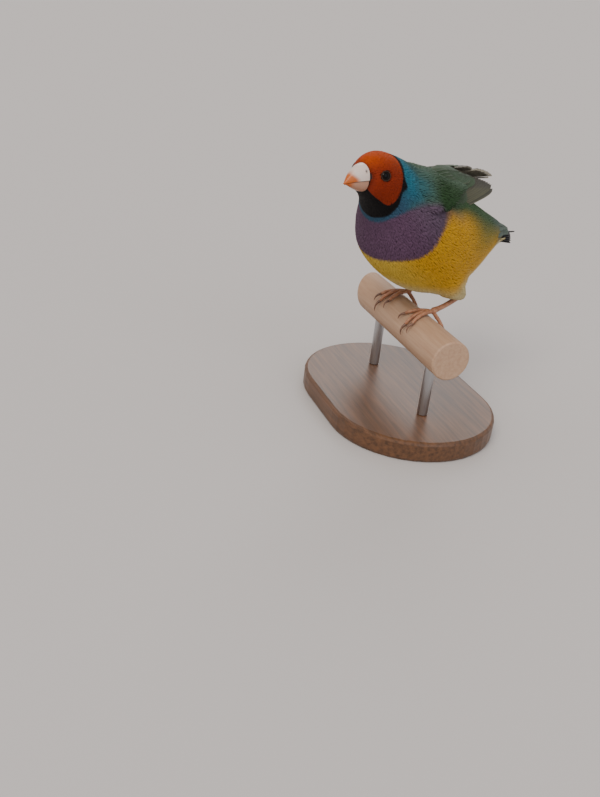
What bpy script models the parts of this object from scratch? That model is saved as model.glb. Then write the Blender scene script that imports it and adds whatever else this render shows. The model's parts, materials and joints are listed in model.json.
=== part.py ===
"""A Gouldian finch as a still, life-size display model, gripping a cut length of dowel on a low stand.

The bird faces -Y, its left side is +X and +Z is up. The origin is the middle of the stand's underside.
The bird is drawn in its own millimetre coordinates: x to its left, s forward and h above the dowel's axis.
"""
import math
import random

import bmesh
import bpy
import numpy as np
from mathutils import Vector

MM = 0.001
GAP = 0.3                       # clearance between touching solids
random.seed(11)

# Stand and perch
DOWEL_RADIUS = 7.5
DOWEL_HALF_LENGTH = 36.0
DOWEL_SLANT = 3.6               # the far end's saw cut leans this far off square
AXIS_HEIGHT = 36.0              # dowel axis above the floor
HEADING = 22.0                  # degrees between the bird's forward direction and square across the dowel
BASE_HALF_LENGTH = 46.0
BASE_HALF_WIDTH = 33.0
BASE_THICKNESS = 8.0
BASE_EDGE = 1.2
ROD_RADIUS = 2.0
ROD_OFFSET = 23.0

# Head
HEAD_CENTRE = (0.0, 30.0, 59.6)
HEAD_TURN = 3.0                 # degrees, positive to the bird's left
HEAD_SIDE = -1.2                # the head's shift to the bird's right
EYE_RADIUS = 2.1
EYE_SPOT = (2.7, 1.2)           # forward of and above the head's centre
EYE_INSET = 1.6                 # eye centre behind the skin
LID_RADIUS = 1.92
LID_THICKNESS = 0.42
LID_RISE = 0.12                 # the lid's rim above the skin

# Bill
BILL_LENGTH = 8.6
BILL_WIDTH = 7.6
CULMEN_HEIGHT = 5.0
GONYS_DEPTH = 4.2
BILL_DROP = 3.0                 # degrees below level

# Feet
FOOT_OFFSET = 11.25              # each foot from the bird's middle, along the dowel
TARSUS_RADIUS = 0.95
HEEL = (10.4, -16.6, 12.4)
TOE_RADIUS = 0.72
CLAW_RADIUS = 0.42

# Feathers
VANE = 0.55                     # thickness of a vane
WING_LENGTH = 62.0
WING_WRIST = (17.0, 12.0, 51.3)
WING_POSE = {
    # wing tip, direction across the wing to its inner edge, and how far the inner vanes stay spread
    1: ((-3.0, -44.0, 51.6), (-0.74, 0.05, 0.67), 0.40),
    -1: ((10.5, -44.6, 54.6), (-0.85, 0.05, 0.44), 0.70),
}
PRIMARIES = 9
SECONDARIES = 6
TERTIALS = 3
TAIL_PAIRS = 6
TAIL_TIP = (-8.0, -66.6, 26.0)
TAIL_WIDTH = 4.6                # half the tail's width near its end
TAIL_PIN = 7.0                  # how far the middle pair passes the others
REAR_BEND = 0.0022              # sideways bend of the rump and tail to the bird's right, per mm squared

# The body's outline from bill base to tail root: back point, breast point, half width
BODY = np.array([
    # s back, h back, s breast, h breast, half width
    (36.6, 64.0, 35.9, 54.8, 4.4),
    (34.0, 66.3, 34.0, 52.4, 6.8),
    (29.2, 67.3, 30.6, 49.4, 8.4),
    (22.0, 65.6, 28.4, 44.8, 9.4),
    (14.5, 62.8, 27.6, 40.0, 12.0),
    (6.8, 59.4, 26.9, 34.8, 15.6),
    (-1.0, 56.0, 24.6, 28.6, 18.0),
    (-9.0, 53.0, 16.2, 21.2, 18.7),
    (-17.4, 49.3, 4.0, 14.8, 17.8),
    (-26.2, 45.2, -8.6, 12.4, 15.2),
    (-35.6, 41.0, -20.8, 14.8, 11.4),
    (-44.4, 37.3, -33.6, 19.4, 7.8),
    (-51.0, 34.3, -44.0, 23.6, 5.4),
    (-54.6, 31.8, -51.6, 26.0, 3.6),
])
AROUND = 32
NECK_CUT = 2.8                  # places along the outline where the nodes part
CHEST_CUT = 4.9
RUMP_CUT = 9.6
TAIL_CUT = 11.2

for thing in list(bpy.data.objects):
    bpy.data.objects.remove(thing)

PARTS = bpy.data.collections.new("gouldian_finch")
CUTTERS = bpy.data.collections.new("cutters")
for group in (PARTS, CUTTERS):
    bpy.context.scene.collection.children.link(group)


def finish(name, colour, roughness, metallic=0.0):
    """A plain material with a colour, a roughness and a metallic value."""
    material = bpy.data.materials.new(name)
    material.use_nodes = True
    shader = material.node_tree.nodes["Principled BSDF"]
    shader.inputs["Base Color"].default_value = (*colour, 1.0)
    shader.inputs["Roughness"].default_value = roughness
    shader.inputs["Metallic"].default_value = metallic
    return material


MASK = finish("mask_feathers", (0.55, 0.09, 0.02), 0.75)
BLUE = finish("collar_feathers", (0.03, 0.28, 0.38), 0.7)
PURPLE = finish("breast_feathers", (0.14, 0.06, 0.22), 0.75)
YELLOW = finish("belly_feathers", (0.62, 0.40, 0.02), 0.8)
GREEN = finish("wing_feathers", (0.05, 0.17, 0.05), 0.7)
DARK = finish("tail_feathers", (0.03, 0.04, 0.05), 0.6)
HORN = finish("bill_horn", (0.75, 0.68, 0.60), 0.35)
EYE = finish("eye", (0.015, 0.012, 0.01), 0.08)
SKIN = finish("leg_skin", (0.48, 0.25, 0.18), 0.55)
WOOD = finish("dowel_wood", (0.55, 0.38, 0.26), 0.6)
BASE_WOOD = finish("base_wood", (0.36, 0.22, 0.12), 0.45)
STEEL = finish("rod_steel", (0.55, 0.55, 0.56), 0.3, 1.0)


def world(points):
    """Turn the bird's own (x, s, h) in millimetres into world metres."""
    p = np.atleast_2d(np.asarray(points, float))
    return np.stack([p[:, 0], -p[:, 1], p[:, 2] + AXIS_HEIGHT], 1) * MM


def mesh_from(vertices, faces, name="shape"):
    mesh = bpy.data.meshes.new(name)
    mesh.from_pydata([tuple(v) for v in vertices], [], faces)
    bm = bmesh.new()
    bm.from_mesh(mesh)
    bmesh.ops.recalc_face_normals(bm, faces=bm.faces)
    bm.to_mesh(mesh)
    bm.free()
    return mesh


def add(name, mesh, material=None, group=PARTS):
    thing = bpy.data.objects.new(name, mesh)
    group.objects.link(thing)
    if material is not None:
        mesh.materials.clear()
        mesh.materials.append(material)
        mesh.shade_smooth()
        mesh.set_sharp_from_angle(angle=math.radians(40))
    if group is CUTTERS:
        thing.hide_render = True
        thing.display_type = "WIRE"
    return thing


def loft(rings):
    """Join rings of equal length into one closed mesh with flat ends."""
    count = len(rings[0])
    vertices = np.concatenate(rings)
    faces = []
    for i in range(len(rings) - 1):
        low = i * count
        for j in range(count):
            k = (j + 1) % count
            faces.append((low + j, low + k, low + count + k))
            faces.append((low + j, low + count + k, low + count + j))
    faces.append(tuple(reversed(range(count))))
    faces.append(tuple(range(len(vertices) - count, len(vertices))))
    return mesh_from(vertices, faces)


def largest_surface(mesh):
    """Keep only the biggest connected surface of a mesh."""
    bm = bmesh.new()
    bm.from_mesh(mesh)
    bmesh.ops.remove_doubles(bm, verts=bm.verts, dist=0.00001)
    left = set(bm.verts)
    groups = []
    while left:
        seed = left.pop()
        found = {seed}
        stack = [seed]
        while stack:
            vertex = stack.pop()
            for edge in vertex.link_edges:
                other = edge.other_vert(vertex)
                if other in left:
                    left.discard(other)
                    found.add(other)
                    stack.append(other)
        groups.append(found)
    groups.sort(key=len, reverse=True)
    spare = [vertex for found in groups[1:] for vertex in found]
    bmesh.ops.delete(bm, geom=spare, context="VERTS")
    bm.to_mesh(mesh)
    bm.free()
    return mesh


def evaluated(thing):
    graph = bpy.context.evaluated_depsgraph_get()
    return bpy.data.meshes.new_from_object(thing.evaluated_get(graph))


def fuse(first, others, solver="EXACT"):
    """Join closed meshes into one closed body with a single Boolean union."""
    host = bpy.data.objects.new("host", first)
    bpy.context.scene.collection.objects.link(host)
    pieces = bpy.data.collections.new("pieces")
    bpy.context.scene.collection.children.link(pieces)
    for mesh in others:
        pieces.objects.link(bpy.data.objects.new("piece", mesh))
    union = host.modifiers.new("union", "BOOLEAN")
    union.operation = "UNION"
    union.operand_type = "COLLECTION"
    union.collection = pieces
    union.solver = solver
    result = evaluated(host)
    for thing in list(pieces.objects):
        bpy.data.objects.remove(thing)
    bpy.data.collections.remove(pieces)
    bpy.data.objects.remove(host)
    return largest_surface(result)


def carve(mesh, cutter_mesh):
    """Cut one closed mesh out of another."""
    host = bpy.data.objects.new("host", mesh)
    bpy.context.scene.collection.objects.link(host)
    cutter = bpy.data.objects.new("cutter", cutter_mesh)
    CUTTERS.objects.link(cutter)
    cut = host.modifiers.new("cut", "BOOLEAN")
    cut.operation = "DIFFERENCE"
    cut.object = cutter
    cut.solver = "EXACT"
    result = evaluated(host)
    bpy.data.objects.remove(host)
    bpy.data.objects.remove(cutter)
    return largest_surface(result)


def body_at(place):
    """Read the outline between its named rows with a smooth curve through them."""
    last = len(BODY) - 1
    i = min(int(place), last - 1)
    t = place - i
    p = [BODY[min(max(i + k, 0), last)] for k in (-1, 0, 1, 2)]
    a = 2.0 * p[1]
    b = p[2] - p[0]
    c = 2.0 * p[0] - 5.0 * p[1] + 4.0 * p[2] - p[3]
    d = 3.0 * p[1] - p[0] - 3.0 * p[2] + p[3]
    return 0.5 * (a + b * t + c * t * t + d * t ** 3)


def turn_head(points, place):
    """Turn the head about its own upright line, fading out down the neck."""
    fade = min(max((6.0 - place) / 3.5, 0.0), 1.0)
    fade = fade * fade * (3.0 - 2.0 * fade)
    angle = math.radians(HEAD_TURN) * fade
    pivot = 18.0
    x = points[:, 0] * math.cos(angle) + math.sin(angle) * (points[:, 1] - pivot) + HEAD_SIDE * fade
    s = pivot + math.cos(angle) * (points[:, 1] - pivot) - math.sin(angle) * points[:, 0]
    return np.stack([x, s, points[:, 2]], 1)


def bend(s):
    """How far the rump and tail swing to the bird's right at a distance s along it."""
    return REAR_BEND * min(s + 8.0, 0.0) ** 2


def body_points(place, angle, along=0.0, grow=0.0):
    """Places on the body at angles round from its back: an ellipse through the back and breast points."""
    sb, hb, sv, hv, half = body_at(place)
    middle = np.array([(sb + sv) / 2, (hb + hv) / 2])
    up = np.array([(sb - sv) / 2, (hb - hv) / 2])
    reach = np.linalg.norm(up)
    up_unit = up / reach
    back = np.array([-up_unit[1], up_unit[0]])
    if back[0] > 0:
        back = -back
    angle = np.atleast_1d(angle)
    side = (half + grow) * np.sin(angle) * (1.0 - 0.06 * np.cos(angle))
    lift = (reach + grow) * np.cos(angle)
    plane = middle + np.outer(lift, up_unit) + back * along
    points = np.stack([side, plane[:, 0], plane[:, 1]], 1)
    if place > 6.0:
        points[:, 0] -= bend(middle[0])
    return turn_head(points, place)


def body_ring(place, along=0.0, grow=0.0, count=AROUND):
    """One closed ring of the body, flat and square to its own middle line."""
    return body_points(place, np.arange(count) * 2 * math.pi / count, along, grow)


def body_piece(first, last, grow=0.0, step=0.36, ends=True):
    """The stretch of the body between two places, parted from its neighbours by half the gap."""
    places = np.linspace(first, last, max(3, int(round((last - first) / step)) + 1))
    rings = []
    for place in places:
        along = 0.0
        if ends and place == places[0] and first > 0:
            along = GAP / 2
        if ends and place == places[-1] and last < len(BODY) - 1:
            along = -GAP / 2
        rings.append(world(body_ring(place, along, grow)))
    return loft(rings)


def sphere(centre, radius, rings=12, segments=20):
    bm = bmesh.new()
    bmesh.ops.create_uvsphere(bm, u_segments=segments, v_segments=rings, radius=radius * MM)
    bmesh.ops.translate(bm, verts=bm.verts, vec=Vector(world(centre)[0]))
    mesh = bpy.data.meshes.new("ball")
    bm.to_mesh(mesh)
    bm.free()
    return mesh


def frame_from(direction, hint=(0.0, 0.0, 1.0)):
    """Two unit vectors square to a direction, the second nearest to the hint."""
    d = np.asarray(direction, float)
    d = d / np.linalg.norm(d)
    up = np.asarray(hint, float) - d * np.dot(hint, d)
    up = up / np.linalg.norm(up)
    side = np.cross(up, d)
    return d, side, up


def tube(path, radii, count=8):
    """A round limb along a path of (x, s, h) points with one radius for each."""
    path = np.asarray(path, float)
    rings = []
    angle = np.arange(count) * 2 * math.pi / count
    for i, point in enumerate(path):
        ahead = path[min(i + 1, len(path) - 1)] - path[max(i - 1, 0)]
        d, side, up = frame_from(ahead, (0.13, 0.1, 1.0))
        ring = point + radii[i] * (np.outer(np.cos(angle), side) + np.outer(np.sin(angle), up))
        rings.append(world(ring))
    return loft(rings)


def eye_place(side):
    """The eye's centre and the way it looks: square to the skin at the eye's spot."""
    target = np.array([HEAD_CENTRE[1] + EYE_SPOT[0], HEAD_CENTRE[2] + EYE_SPOT[1]])
    best = None
    for place in np.linspace(0.6, 3.0, 49):
        angles = np.linspace(0.6, 2.2, 65)
        sb, hb, sv, hv, half = body_at(place)
        s = (sb + sv) / 2 + (sb - sv) / 2 * np.cos(angles)
        h = (hb + hv) / 2 + (hb - hv) / 2 * np.cos(angles)
        miss = (s - target[0]) ** 2 + (h - target[1]) ** 2
        k = int(np.argmin(miss))
        if best is None or miss[k] < best[0]:
            best = (miss[k], place, angles[k] * side)
    place, angle = best[1:]
    skin = body_points(place, angle)[0]
    along = body_points(place + 0.1, angle)[0] - body_points(place - 0.1, angle)[0]
    around = body_points(place, angle + 0.05)[0] - body_points(place, angle - 0.05)[0]
    outward = np.cross(along, around)
    outward = outward / np.linalg.norm(outward)
    if outward[0] * side < 0:
        outward = -outward
    return skin - outward * EYE_INSET, outward


def ring_solid(centre, axis, radius, thickness, around=20, section=6):
    """A closed ring, such as an eyelid's rim."""
    d, side, up = frame_from(axis)
    rows = []
    for i in range(around):
        a = i * 2 * math.pi / around
        out = math.cos(a) * side + math.sin(a) * up
        for j in range(section):
            b = j * 2 * math.pi / section
            rows.append(centre + out * (radius + thickness * math.cos(b)) + d * thickness * math.sin(b))
    faces = []
    for i in range(around):
        for j in range(section):
            a0 = i * section + j
            a1 = i * section + (j + 1) % section
            b0 = ((i + 1) % around) * section + j
            b1 = ((i + 1) % around) * section + (j + 1) % section
            faces.append((a0, b0, b1))
            faces.append((a0, b1, a1))
    return mesh_from(world(np.array(rows)), faces)


def make_head():
    """The head with sunk eye sockets and a raised rim of lid round each eye."""
    mesh = body_piece(0.0, NECK_CUT, step=0.26)
    lids = []
    for side in (1, -1):
        centre, outward = eye_place(side)
        lids.append(ring_solid(centre + outward * (EYE_INSET + LID_RISE), outward, LID_RADIUS, LID_THICKNESS))
    mesh = fuse(mesh, lids)
    for side in (1, -1):
        centre, outward = eye_place(side)
        mesh = carve(mesh, sphere(centre, EYE_RADIUS + GAP))
    add("head", mesh, MASK)
    for side, name in ((1, "eye_left"), (-1, "eye_right")):
        centre, outward = eye_place(side)
        add(name, sphere(centre, EYE_RADIUS, 11, 18), EYE)


def bill_point(forward, left, up):
    """A place on the bill, measured from the middle of its base at the line of the mouth."""
    drop = math.radians(BILL_DROP)
    f = forward * math.cos(drop) + up * math.sin(drop)
    u = up * math.cos(drop) - forward * math.sin(drop)
    front = (BODY[0][0] + BODY[0][2]) / 2 + GAP
    mouth = (BODY[0][1] + BODY[0][3]) / 2 - 0.6
    return turn_head(np.array([[left, front + f, mouth + u]]), 0.0)[0]


def bill_half(name, upper):
    """One half of the bill: half-ellipse sections that shrink along a bowed outline to the tip."""
    rings = []
    for t in np.linspace(0.0, 1.0, 9):
        narrow = (1.0 - t ** 1.45) ** 0.9
        half = max(BILL_WIDTH / 2 * narrow, 0.22)
        if upper:
            height = max(CULMEN_HEIGHT * (1.0 - t ** 1.9), 0.35)
            floor = GAP / 2 - 0.9 * t ** 3
            forward = BILL_LENGTH * t
        else:
            height = max(GONYS_DEPTH * (1.0 - t ** 1.5), 0.3)
            floor = -GAP / 2 - 0.9 * t ** 3 * 0.8
            forward = BILL_LENGTH * 0.93 * t
            half = half * 0.93
        ring = []
        for a in np.linspace(0.0, math.pi, 11):
            rise = height * math.sin(a) ** 0.85
            ring.append(bill_point(forward, half * math.cos(a), floor + (rise if upper else -rise)))
        for k in (0.5, 0.0, -0.5):
            ring.append(bill_point(forward, -half * k, floor))
        rings.append(world(np.array(ring)))
    mesh = loft(rings)
    return mesh


def make_bill():
    """Two half bills that part along the line of the mouth, with a nostril each side."""
    upper = bill_half("bill_upper", True)
    for side in (1, -1):
        hole = bill_point(0.9, side * 2.7, 3.1)
        upper = carve(upper, sphere(hole, 0.55, 6, 8))
    add("bill_upper", upper, HORN)
    add("bill_lower", bill_half("bill_lower", False), HORN)


def vane(root, tip, width, up, tilt=0.0, bow=0.0, sweep=0.0, blunt=0.55, thick=VANE, stations=6):
    """A feather's vane: a thin strip, rounded at the tip, that bows and sweeps along its length."""
    root = np.asarray(root, float)
    tip = np.asarray(tip, float)
    d, side, lift = frame_from(tip - root, up)
    c = math.cos(math.radians(tilt))
    s = math.sin(math.radians(tilt))
    across = side * c + lift * s
    normal = lift * c - side * s
    corners = []
    spots = [0.0, 0.3, 0.58, 0.8, 0.93, 1.0][-stations:]
    shape = {0.0: 0.55, 0.3: 0.92, 0.58: 1.0, 0.8: 0.94, 0.93: 0.94 * blunt + 0.3, 1.0: 0.30 * blunt}
    for t in spots:
        arch = 4.0 * t * (1.0 - t)
        centre = root + (tip - root) * t + lift * bow * arch + side * sweep * arch
        half = width / 2 * min(shape[t], 1.0)
        deep = thick / 2 * (1.0 if t < 0.95 else 0.6)
        for a, b in ((-1, 1), (1, 1), (1, -1), (-1, -1)):
            corners.append(centre + across * half * a + normal * deep * b)
    faces = []
    n = len(spots)
    for i in range(n - 1):
        p = i * 4
        q = p + 4
        faces += [(p, p + 1, q + 1), (p, q + 1, q)]
        faces += [(p + 3, q + 2, p + 2), (p + 3, q + 3, q + 2)]
        faces += [(p + 1, p + 2, q + 2), (p + 1, q + 2, q + 1)]
        faces += [(p + 3, p, q), (p + 3, q, q + 3)]
    last = (n - 1) * 4
    faces += [(0, 2, 1), (0, 3, 2)]
    faces += [(last, last + 1, last + 2), (last, last + 2, last + 3)]
    return mesh_from(world(np.array(corners)), faces)


def wing_frame(side):
    """The wing's own axes: a runs from the wrist to the tip, b across to the inner edge, n outwards."""
    wrist = np.array(WING_WRIST)
    tip, hint, spread = WING_POSE[side]
    a = np.array(tip) - wrist
    a = a / np.linalg.norm(a)
    b = np.array(hint) - a * np.dot(a, hint)
    b = b / np.linalg.norm(b)
    n = np.cross(a, b)
    if n[2] < 0:
        n = -n
    return wrist, a, b, n


def wing_place(side, pa, pb, pn):
    """A place on a wing from its own (a, b, n) millimetres, with its camber and its fold towards the tip."""
    wrist, a, b, n = wing_frame(side)
    fold = min(max((pa - 7.0) / 28.0, 0.0), 1.0)
    fold = fold * fold * (3.0 - 2.0 * fold)
    if pb > 0:
        pb = pb * (1.0 - (1.0 - WING_POSE[side][2]) * fold)
    camber = -0.012 * (pb - 8.0) ** 2 - 0.0009 * (pa - 24.0) ** 2
    point = wrist + a * pa + b * pb + n * (pn + camber)
    return np.array([point[0] * side, point[1], point[2]])


def wing_core(side):
    """The arm and hand under their small coverts: a flat lens that narrows to the rear."""
    rows = [
        # a, middle b, half width, half thickness
        (-2.2, 4.6, 1.8, 0.8),
        (0.0, 5.4, 3.9, 1.5),
        (4.0, 6.4, 5.9, 1.8),
        (9.0, 7.2, 6.8, 1.8),
        (14.0, 7.8, 6.9, 1.5),
        (19.0, 8.4, 6.4, 1.1),
        (22.5, 8.8, 5.4, 0.7),
    ]
    rings = []
    for pa, middle, half, deep in rows:
        ring = []
        for k in range(16):
            angle = k * 2 * math.pi / 16
            ring.append(wing_place(side, pa, middle + half * math.cos(angle), deep * math.sin(angle)))
        rings.append(world(np.array(ring)))
    return loft(rings)


def wing_vane(side, root, tip, width, level, tilt, bow=0.6, stations=6):
    first = wing_place(side, root[0], root[1], level)
    last = wing_place(side, tip[0], tip[1], level)
    wrist, a, b, n = wing_frame(side)
    up = np.array([n[0] * side, n[1], n[2]])
    return vane(first, last, width, up, tilt * side, bow, 0.0, 0.55, VANE, stations)


def make_wing(side, name):
    """A lifted, nearly closed wing: primaries lowest, then secondaries, tertials and coverts in tiers."""
    pieces = []
    for i in range(PRIMARIES):
        f = i / (PRIMARIES - 1)
        root = (6.0 + 9.0 * f, 5.6 - 6.4 * f)
        drop = (1.0 - f)
        length = WING_LENGTH - 17.0 * drop ** 1.3 - (1.6 if i == PRIMARIES - 1 else 0.0)
        tip = (length, 12.6 * drop ** 1.05 - 1.6 * f + random.uniform(-0.15, 0.15))
        pieces.append(wing_vane(side, root, tip, 5.4 - 1.1 * f, -0.95, 17.0))
    for i in range(SECONDARIES):
        f = i / (SECONDARIES - 1)
        root = (9.0 + 4.0 * f, 6.2 + 6.2 * f)
        tip = (42.0 - 6.0 * f, 12.2 + 5.4 * f + random.uniform(-0.15, 0.15))
        pieces.append(wing_vane(side, root, tip, 5.8, 0.25, 20.0))
    for i in range(TERTIALS):
        f = i / (TERTIALS - 1)
        root = (10.0 + 1.0 * f, 9.5 + 3.4 * f)
        tip = (36.0 - 8.0 * f, 14.6 + 3.6 * f)
        pieces.append(wing_vane(side, root, tip, 6.4, 1.25, 14.0, 0.9))
    for i in range(8):
        f = i / 7
        root = (7.5 + 2.5 * f, 1.6 + 10.2 * f)
        tip = (24.0 - 2.0 * f, 4.0 + 12.0 * f)
        pieces.append(wing_vane(side, root, tip, 4.6, 1.55, 14.0, 0.5, 5))
    for i in range(4):
        f = i / 3
        root = (8.0 + 3.5 * f, 3.6 - 3.4 * f)
        tip = (23.0 + 3.0 * f, 3.6 - 4.0 * f)
        pieces.append(wing_vane(side, root, tip, 3.6, 0.35, 14.0, 0.3, 5))
    mesh = fuse(wing_core(side), pieces)
    mesh = carve(mesh, body_piece(3.4, len(BODY) - 1.0, GAP, ends=False))
    add(name, mesh, GREEN)


def make_tail():
    """The tail: a short root, twelve tail feathers in a shallow roof, and coverts above and below."""
    core = body_piece(TAIL_CUT, len(BODY) - 1.0)
    root = np.array([-bend(-47.0), -47.0, 29.4])
    tip = np.array(TAIL_TIP)
    d, side, up = frame_from(tip - root)
    if side[0] < 0:
        side = -side
    pieces = []
    for k in range(TAIL_PAIRS):
        for hand in (1, -1):
            f = k / (TAIL_PAIRS - 1)
            level = 1.3 - 2.6 * f ** 1.3 - (0.35 if hand < 0 else 0.0)
            start = root + side * hand * (0.4 + 2.0 * f) + up * level
            end = tip + side * hand * (0.7 + (TAIL_WIDTH - 2.2) * f) + up * (level - 1.2 * f)
            end = end + d * (TAIL_PIN if k == 0 else -2.6 * f ** 2)
            width = 2.6 if k == 0 else 4.2
            pieces.append(vane(start, end, width, up, -9.0 * hand, 0.0, 0.0, 0.15 if k == 0 else 0.6))
    for near, far, past, count in ((12.35, 13.0, 6.0, 3), (11.7, 12.7, 0.0, 4)):
        for k in range(count):
            for middle in (0.0, math.pi):
                angle = middle + (k - (count - 1) / 2) * 2.2 / count
                start = body_points(near, angle, 0.0, -0.6)[0]
                end = body_points(far, angle, 0.0, 0.45)[0]
                outward = body_points(far, angle, 0.0, 2.0)[0] - body_points(far, angle)[0]
                end = end + d * past - outward * (0.45 if past else 0.0)
                pieces.append(vane(start, end, 3.2, outward, 12.0, 0.3, 0.0, 0.6, VANE, 5))
    mesh = fuse(core, pieces)
    mesh = carve(mesh, body_piece(7.0, TAIL_CUT, GAP, ends=False))
    add("tail", mesh, DARK)


def on_dowel(along, angle, radius):
    """A place round the dowel: along it, by the angle up from its front, at a radius."""
    turn = math.radians(HEADING)
    near = np.array([math.cos(turn), math.sin(turn)])
    front = np.array([-math.sin(turn), math.cos(turn)])
    a = math.radians(angle)
    flat = near * along + front * radius * math.cos(a)
    return np.array([flat[0], flat[1], radius * math.sin(a)])


def toe(start, end, claw_turn):
    """A toe that lies along the dowel, and its claw that curls past the toe's end."""
    along0, angle0 = start
    along1, angle1 = end
    hug = DOWEL_RADIUS + GAP + TOE_RADIUS + 0.05
    path = []
    radii = []
    for t in np.linspace(0.0, 1.0, 7):
        knuckle = 0.10 * abs(math.sin(3 * math.pi * t))
        raised = 1.1 * (1.0 - t) ** 3
        path.append(on_dowel(along0 + (along1 - along0) * t, angle0 + (angle1 - angle0) * t, hug + raised))
        radii.append(TOE_RADIUS * (1.06 - 0.22 * t) - knuckle * 0.5)
    for t in (0.35, 0.7, 1.0):
        along = along1 + (along1 - along0) * 0.16 * t
        angle = angle1 + claw_turn * t
        path.append(on_dowel(along, angle, hug + 0.55 * math.sin(math.pi * t) + 0.10 * t))
        radii.append(CLAW_RADIUS * (1.0 - t) + 0.12)
    return tube(path, radii, 8)


TOES = {
    # along the dowel and angle of each toe's end, and the turn of its claw; the last toe points behind
    1: [(6.2, 52.0, -22.0), (11.6, 31.0, -28.0), (14.6, 44.0, -26.0), (13.0, 158.0, 30.0)],
    -1: [(-7.6, 50.0, -24.0), (-12.2, 33.0, -30.0), (-15.2, 50.0, -26.0), (-9.4, 160.0, 30.0)],
}


def shank(side, grow=0.0):
    """The bare shank from just above the toes back to the heel."""
    ankle = on_dowel(side * FOOT_OFFSET - 0.9 * max(side, 0), 116.0, DOWEL_RADIUS + 2.7)
    heel = np.array([HEEL[0] * side, HEEL[1], HEEL[2]])
    path = [ankle + (heel - ankle) * t + np.array([0.0, 0.0, -0.6 * math.sin(math.pi * t)])
            for t in np.linspace(0.0, 1.0, 6)]
    radii = [TARSUS_RADIUS * k + grow for k in (1.2, 1.0, 0.95, 0.98, 1.05, 1.25)]
    return ankle, heel, tube(path, radii, 10)


def make_leg(side, name):
    """The bare foot: the shank from heel to toes, three toes forward, one behind, each with its claw."""
    ankle, heel, limb = shank(side)
    pieces = [sphere(ankle, 1.25, 8, 12), sphere(heel, 1.25, 8, 12)]
    start = (side * FOOT_OFFSET - 0.9 * max(side, 0), 116.0)
    for along, angle, claw in TOES[side]:
        pieces.append(toe(start, (along, angle), claw))
    mesh = fuse(limb, pieces)
    add(name, mesh, SKIN)


def make_thigh(side, name):
    """The feathered thigh: a soft cone from the belly's side down to the heel, open round the shank."""
    ankle, heel, limb = shank(side, GAP)
    knee = np.array([10.7 * side, -5.0, 20.6])
    away = (heel - knee) / np.linalg.norm(heel - knee)
    end = heel - away * 0.5
    path = [knee + (end - knee) * t for t in (-0.22, -0.12, 0.08, 0.3, 0.55, 0.8, 1.0)]
    mesh = tube(path, [2.6, 4.6, 5.9, 5.6, 4.5, 3.2, 2.1], 14)
    mesh = carve(mesh, body_piece(3.4, len(BODY) - 1.0, GAP, ends=False))
    mesh = carve(mesh, fuse(limb, [sphere(heel, 1.25 + GAP, 8, 12)]))
    add(name, mesh, YELLOW)


def box_with_round_ends(half_length, half_width, low, high, turn, steps=22):
    """A flat board with rounded ends, turned about the upright axis."""
    straight = half_length - half_width
    outline = []
    for i in range(steps):
        a = -math.pi / 2 + math.pi * i / (steps - 1)
        outline.append((straight + half_width * math.cos(a), half_width * math.sin(a)))
    for i in range(steps):
        a = math.pi / 2 + math.pi * i / (steps - 1)
        outline.append((-straight + half_width * math.cos(a), half_width * math.sin(a)))
    c = math.cos(turn)
    s = math.sin(turn)
    rings = []
    for z in (low, high):
        rings.append(np.array([(x * c - y * s, x * s + y * c, z) for x, y in outline]) * MM)
    return loft(rings)


def cylinder(start, end, radius, segments):
    """A closed cylinder between two points in (x, s, h)."""
    return tube([start, end], [radius, radius], segments)


def make_stand():
    """A cut dowel on two steel rods over a flat wooden base."""
    turn = -math.radians(HEADING)
    board = box_with_round_ends(BASE_HALF_LENGTH, BASE_HALF_WIDTH, 0.0, BASE_THICKNESS, turn)
    base = add("stand_base", board, BASE_WOOD)
    edge = base.modifiers.new("edge", "BEVEL")
    edge.width = BASE_EDGE * MM
    edge.segments = 2
    edge.limit_method = "ANGLE"
    edge.angle_limit = math.radians(60)
    rings = []
    for end in (-1, 1):
        ring = []
        for k in range(48):
            angle = k * 360.0 / 48
            slant = DOWEL_SLANT * math.cos(math.radians(angle - 135.0)) if end < 0 else 0.0
            ring.append(on_dowel(end * DOWEL_HALF_LENGTH - slant, angle, DOWEL_RADIUS))
        rings.append(world(np.array(ring)))
    perch = add("perch", loft(rings), WOOD)
    chamfer = perch.modifiers.new("edge", "BEVEL")
    chamfer.width = 0.5 * MM
    chamfer.segments = 1
    chamfer.limit_method = "ANGLE"
    chamfer.angle_limit = math.radians(60)
    clear = tube([on_dowel(-DOWEL_HALF_LENGTH - 6, 0, 0), on_dowel(DOWEL_HALF_LENGTH + 2, 0, 0)],
                 [DOWEL_RADIUS + GAP, DOWEL_RADIUS + GAP], 48)
    for name, along in (("stand_rod_near", ROD_OFFSET), ("stand_rod_far", -ROD_OFFSET)):
        foot = on_dowel(along, 0, 0)
        foot[2] = BASE_THICKNESS + GAP - AXIS_HEIGHT
        rod = cylinder(foot, on_dowel(along, 0, 0), ROD_RADIUS, 24)
        add(name, carve(rod, clear.copy()), STEEL)


def main():
    make_stand()
    make_head()
    make_bill()
    add("neck", body_piece(NECK_CUT, CHEST_CUT), BLUE)
    add("torso", body_piece(CHEST_CUT, RUMP_CUT), PURPLE)
    add("rump", body_piece(RUMP_CUT, TAIL_CUT), YELLOW)
    make_tail()
    for side, hand in ((1, "left"), (-1, "right")):
        make_wing(side, "wing_" + hand)
        make_thigh(side, "thigh_" + hand)
        make_leg(side, "foot_" + hand)


main()
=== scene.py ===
# %% [markdown]
# # A Gouldian finch on its perch
# The real thing is a small grass finch, shorter than a hand, that grips a dowel with both feet. The
# solids of the bird and its stand are already made and packed. This script loads them as a fixed frame
# and dresses them: one skin, a coat of some forty thousand feathers, flight feathers, eyes, bill, feet
# and wood. Everything is worked out in millimetres in the bird's own coordinates: x to its left, s
# forward and h above the perch's axis. One function turns these into metres in the frame.

# %% Load the frame
import json
import math

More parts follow.
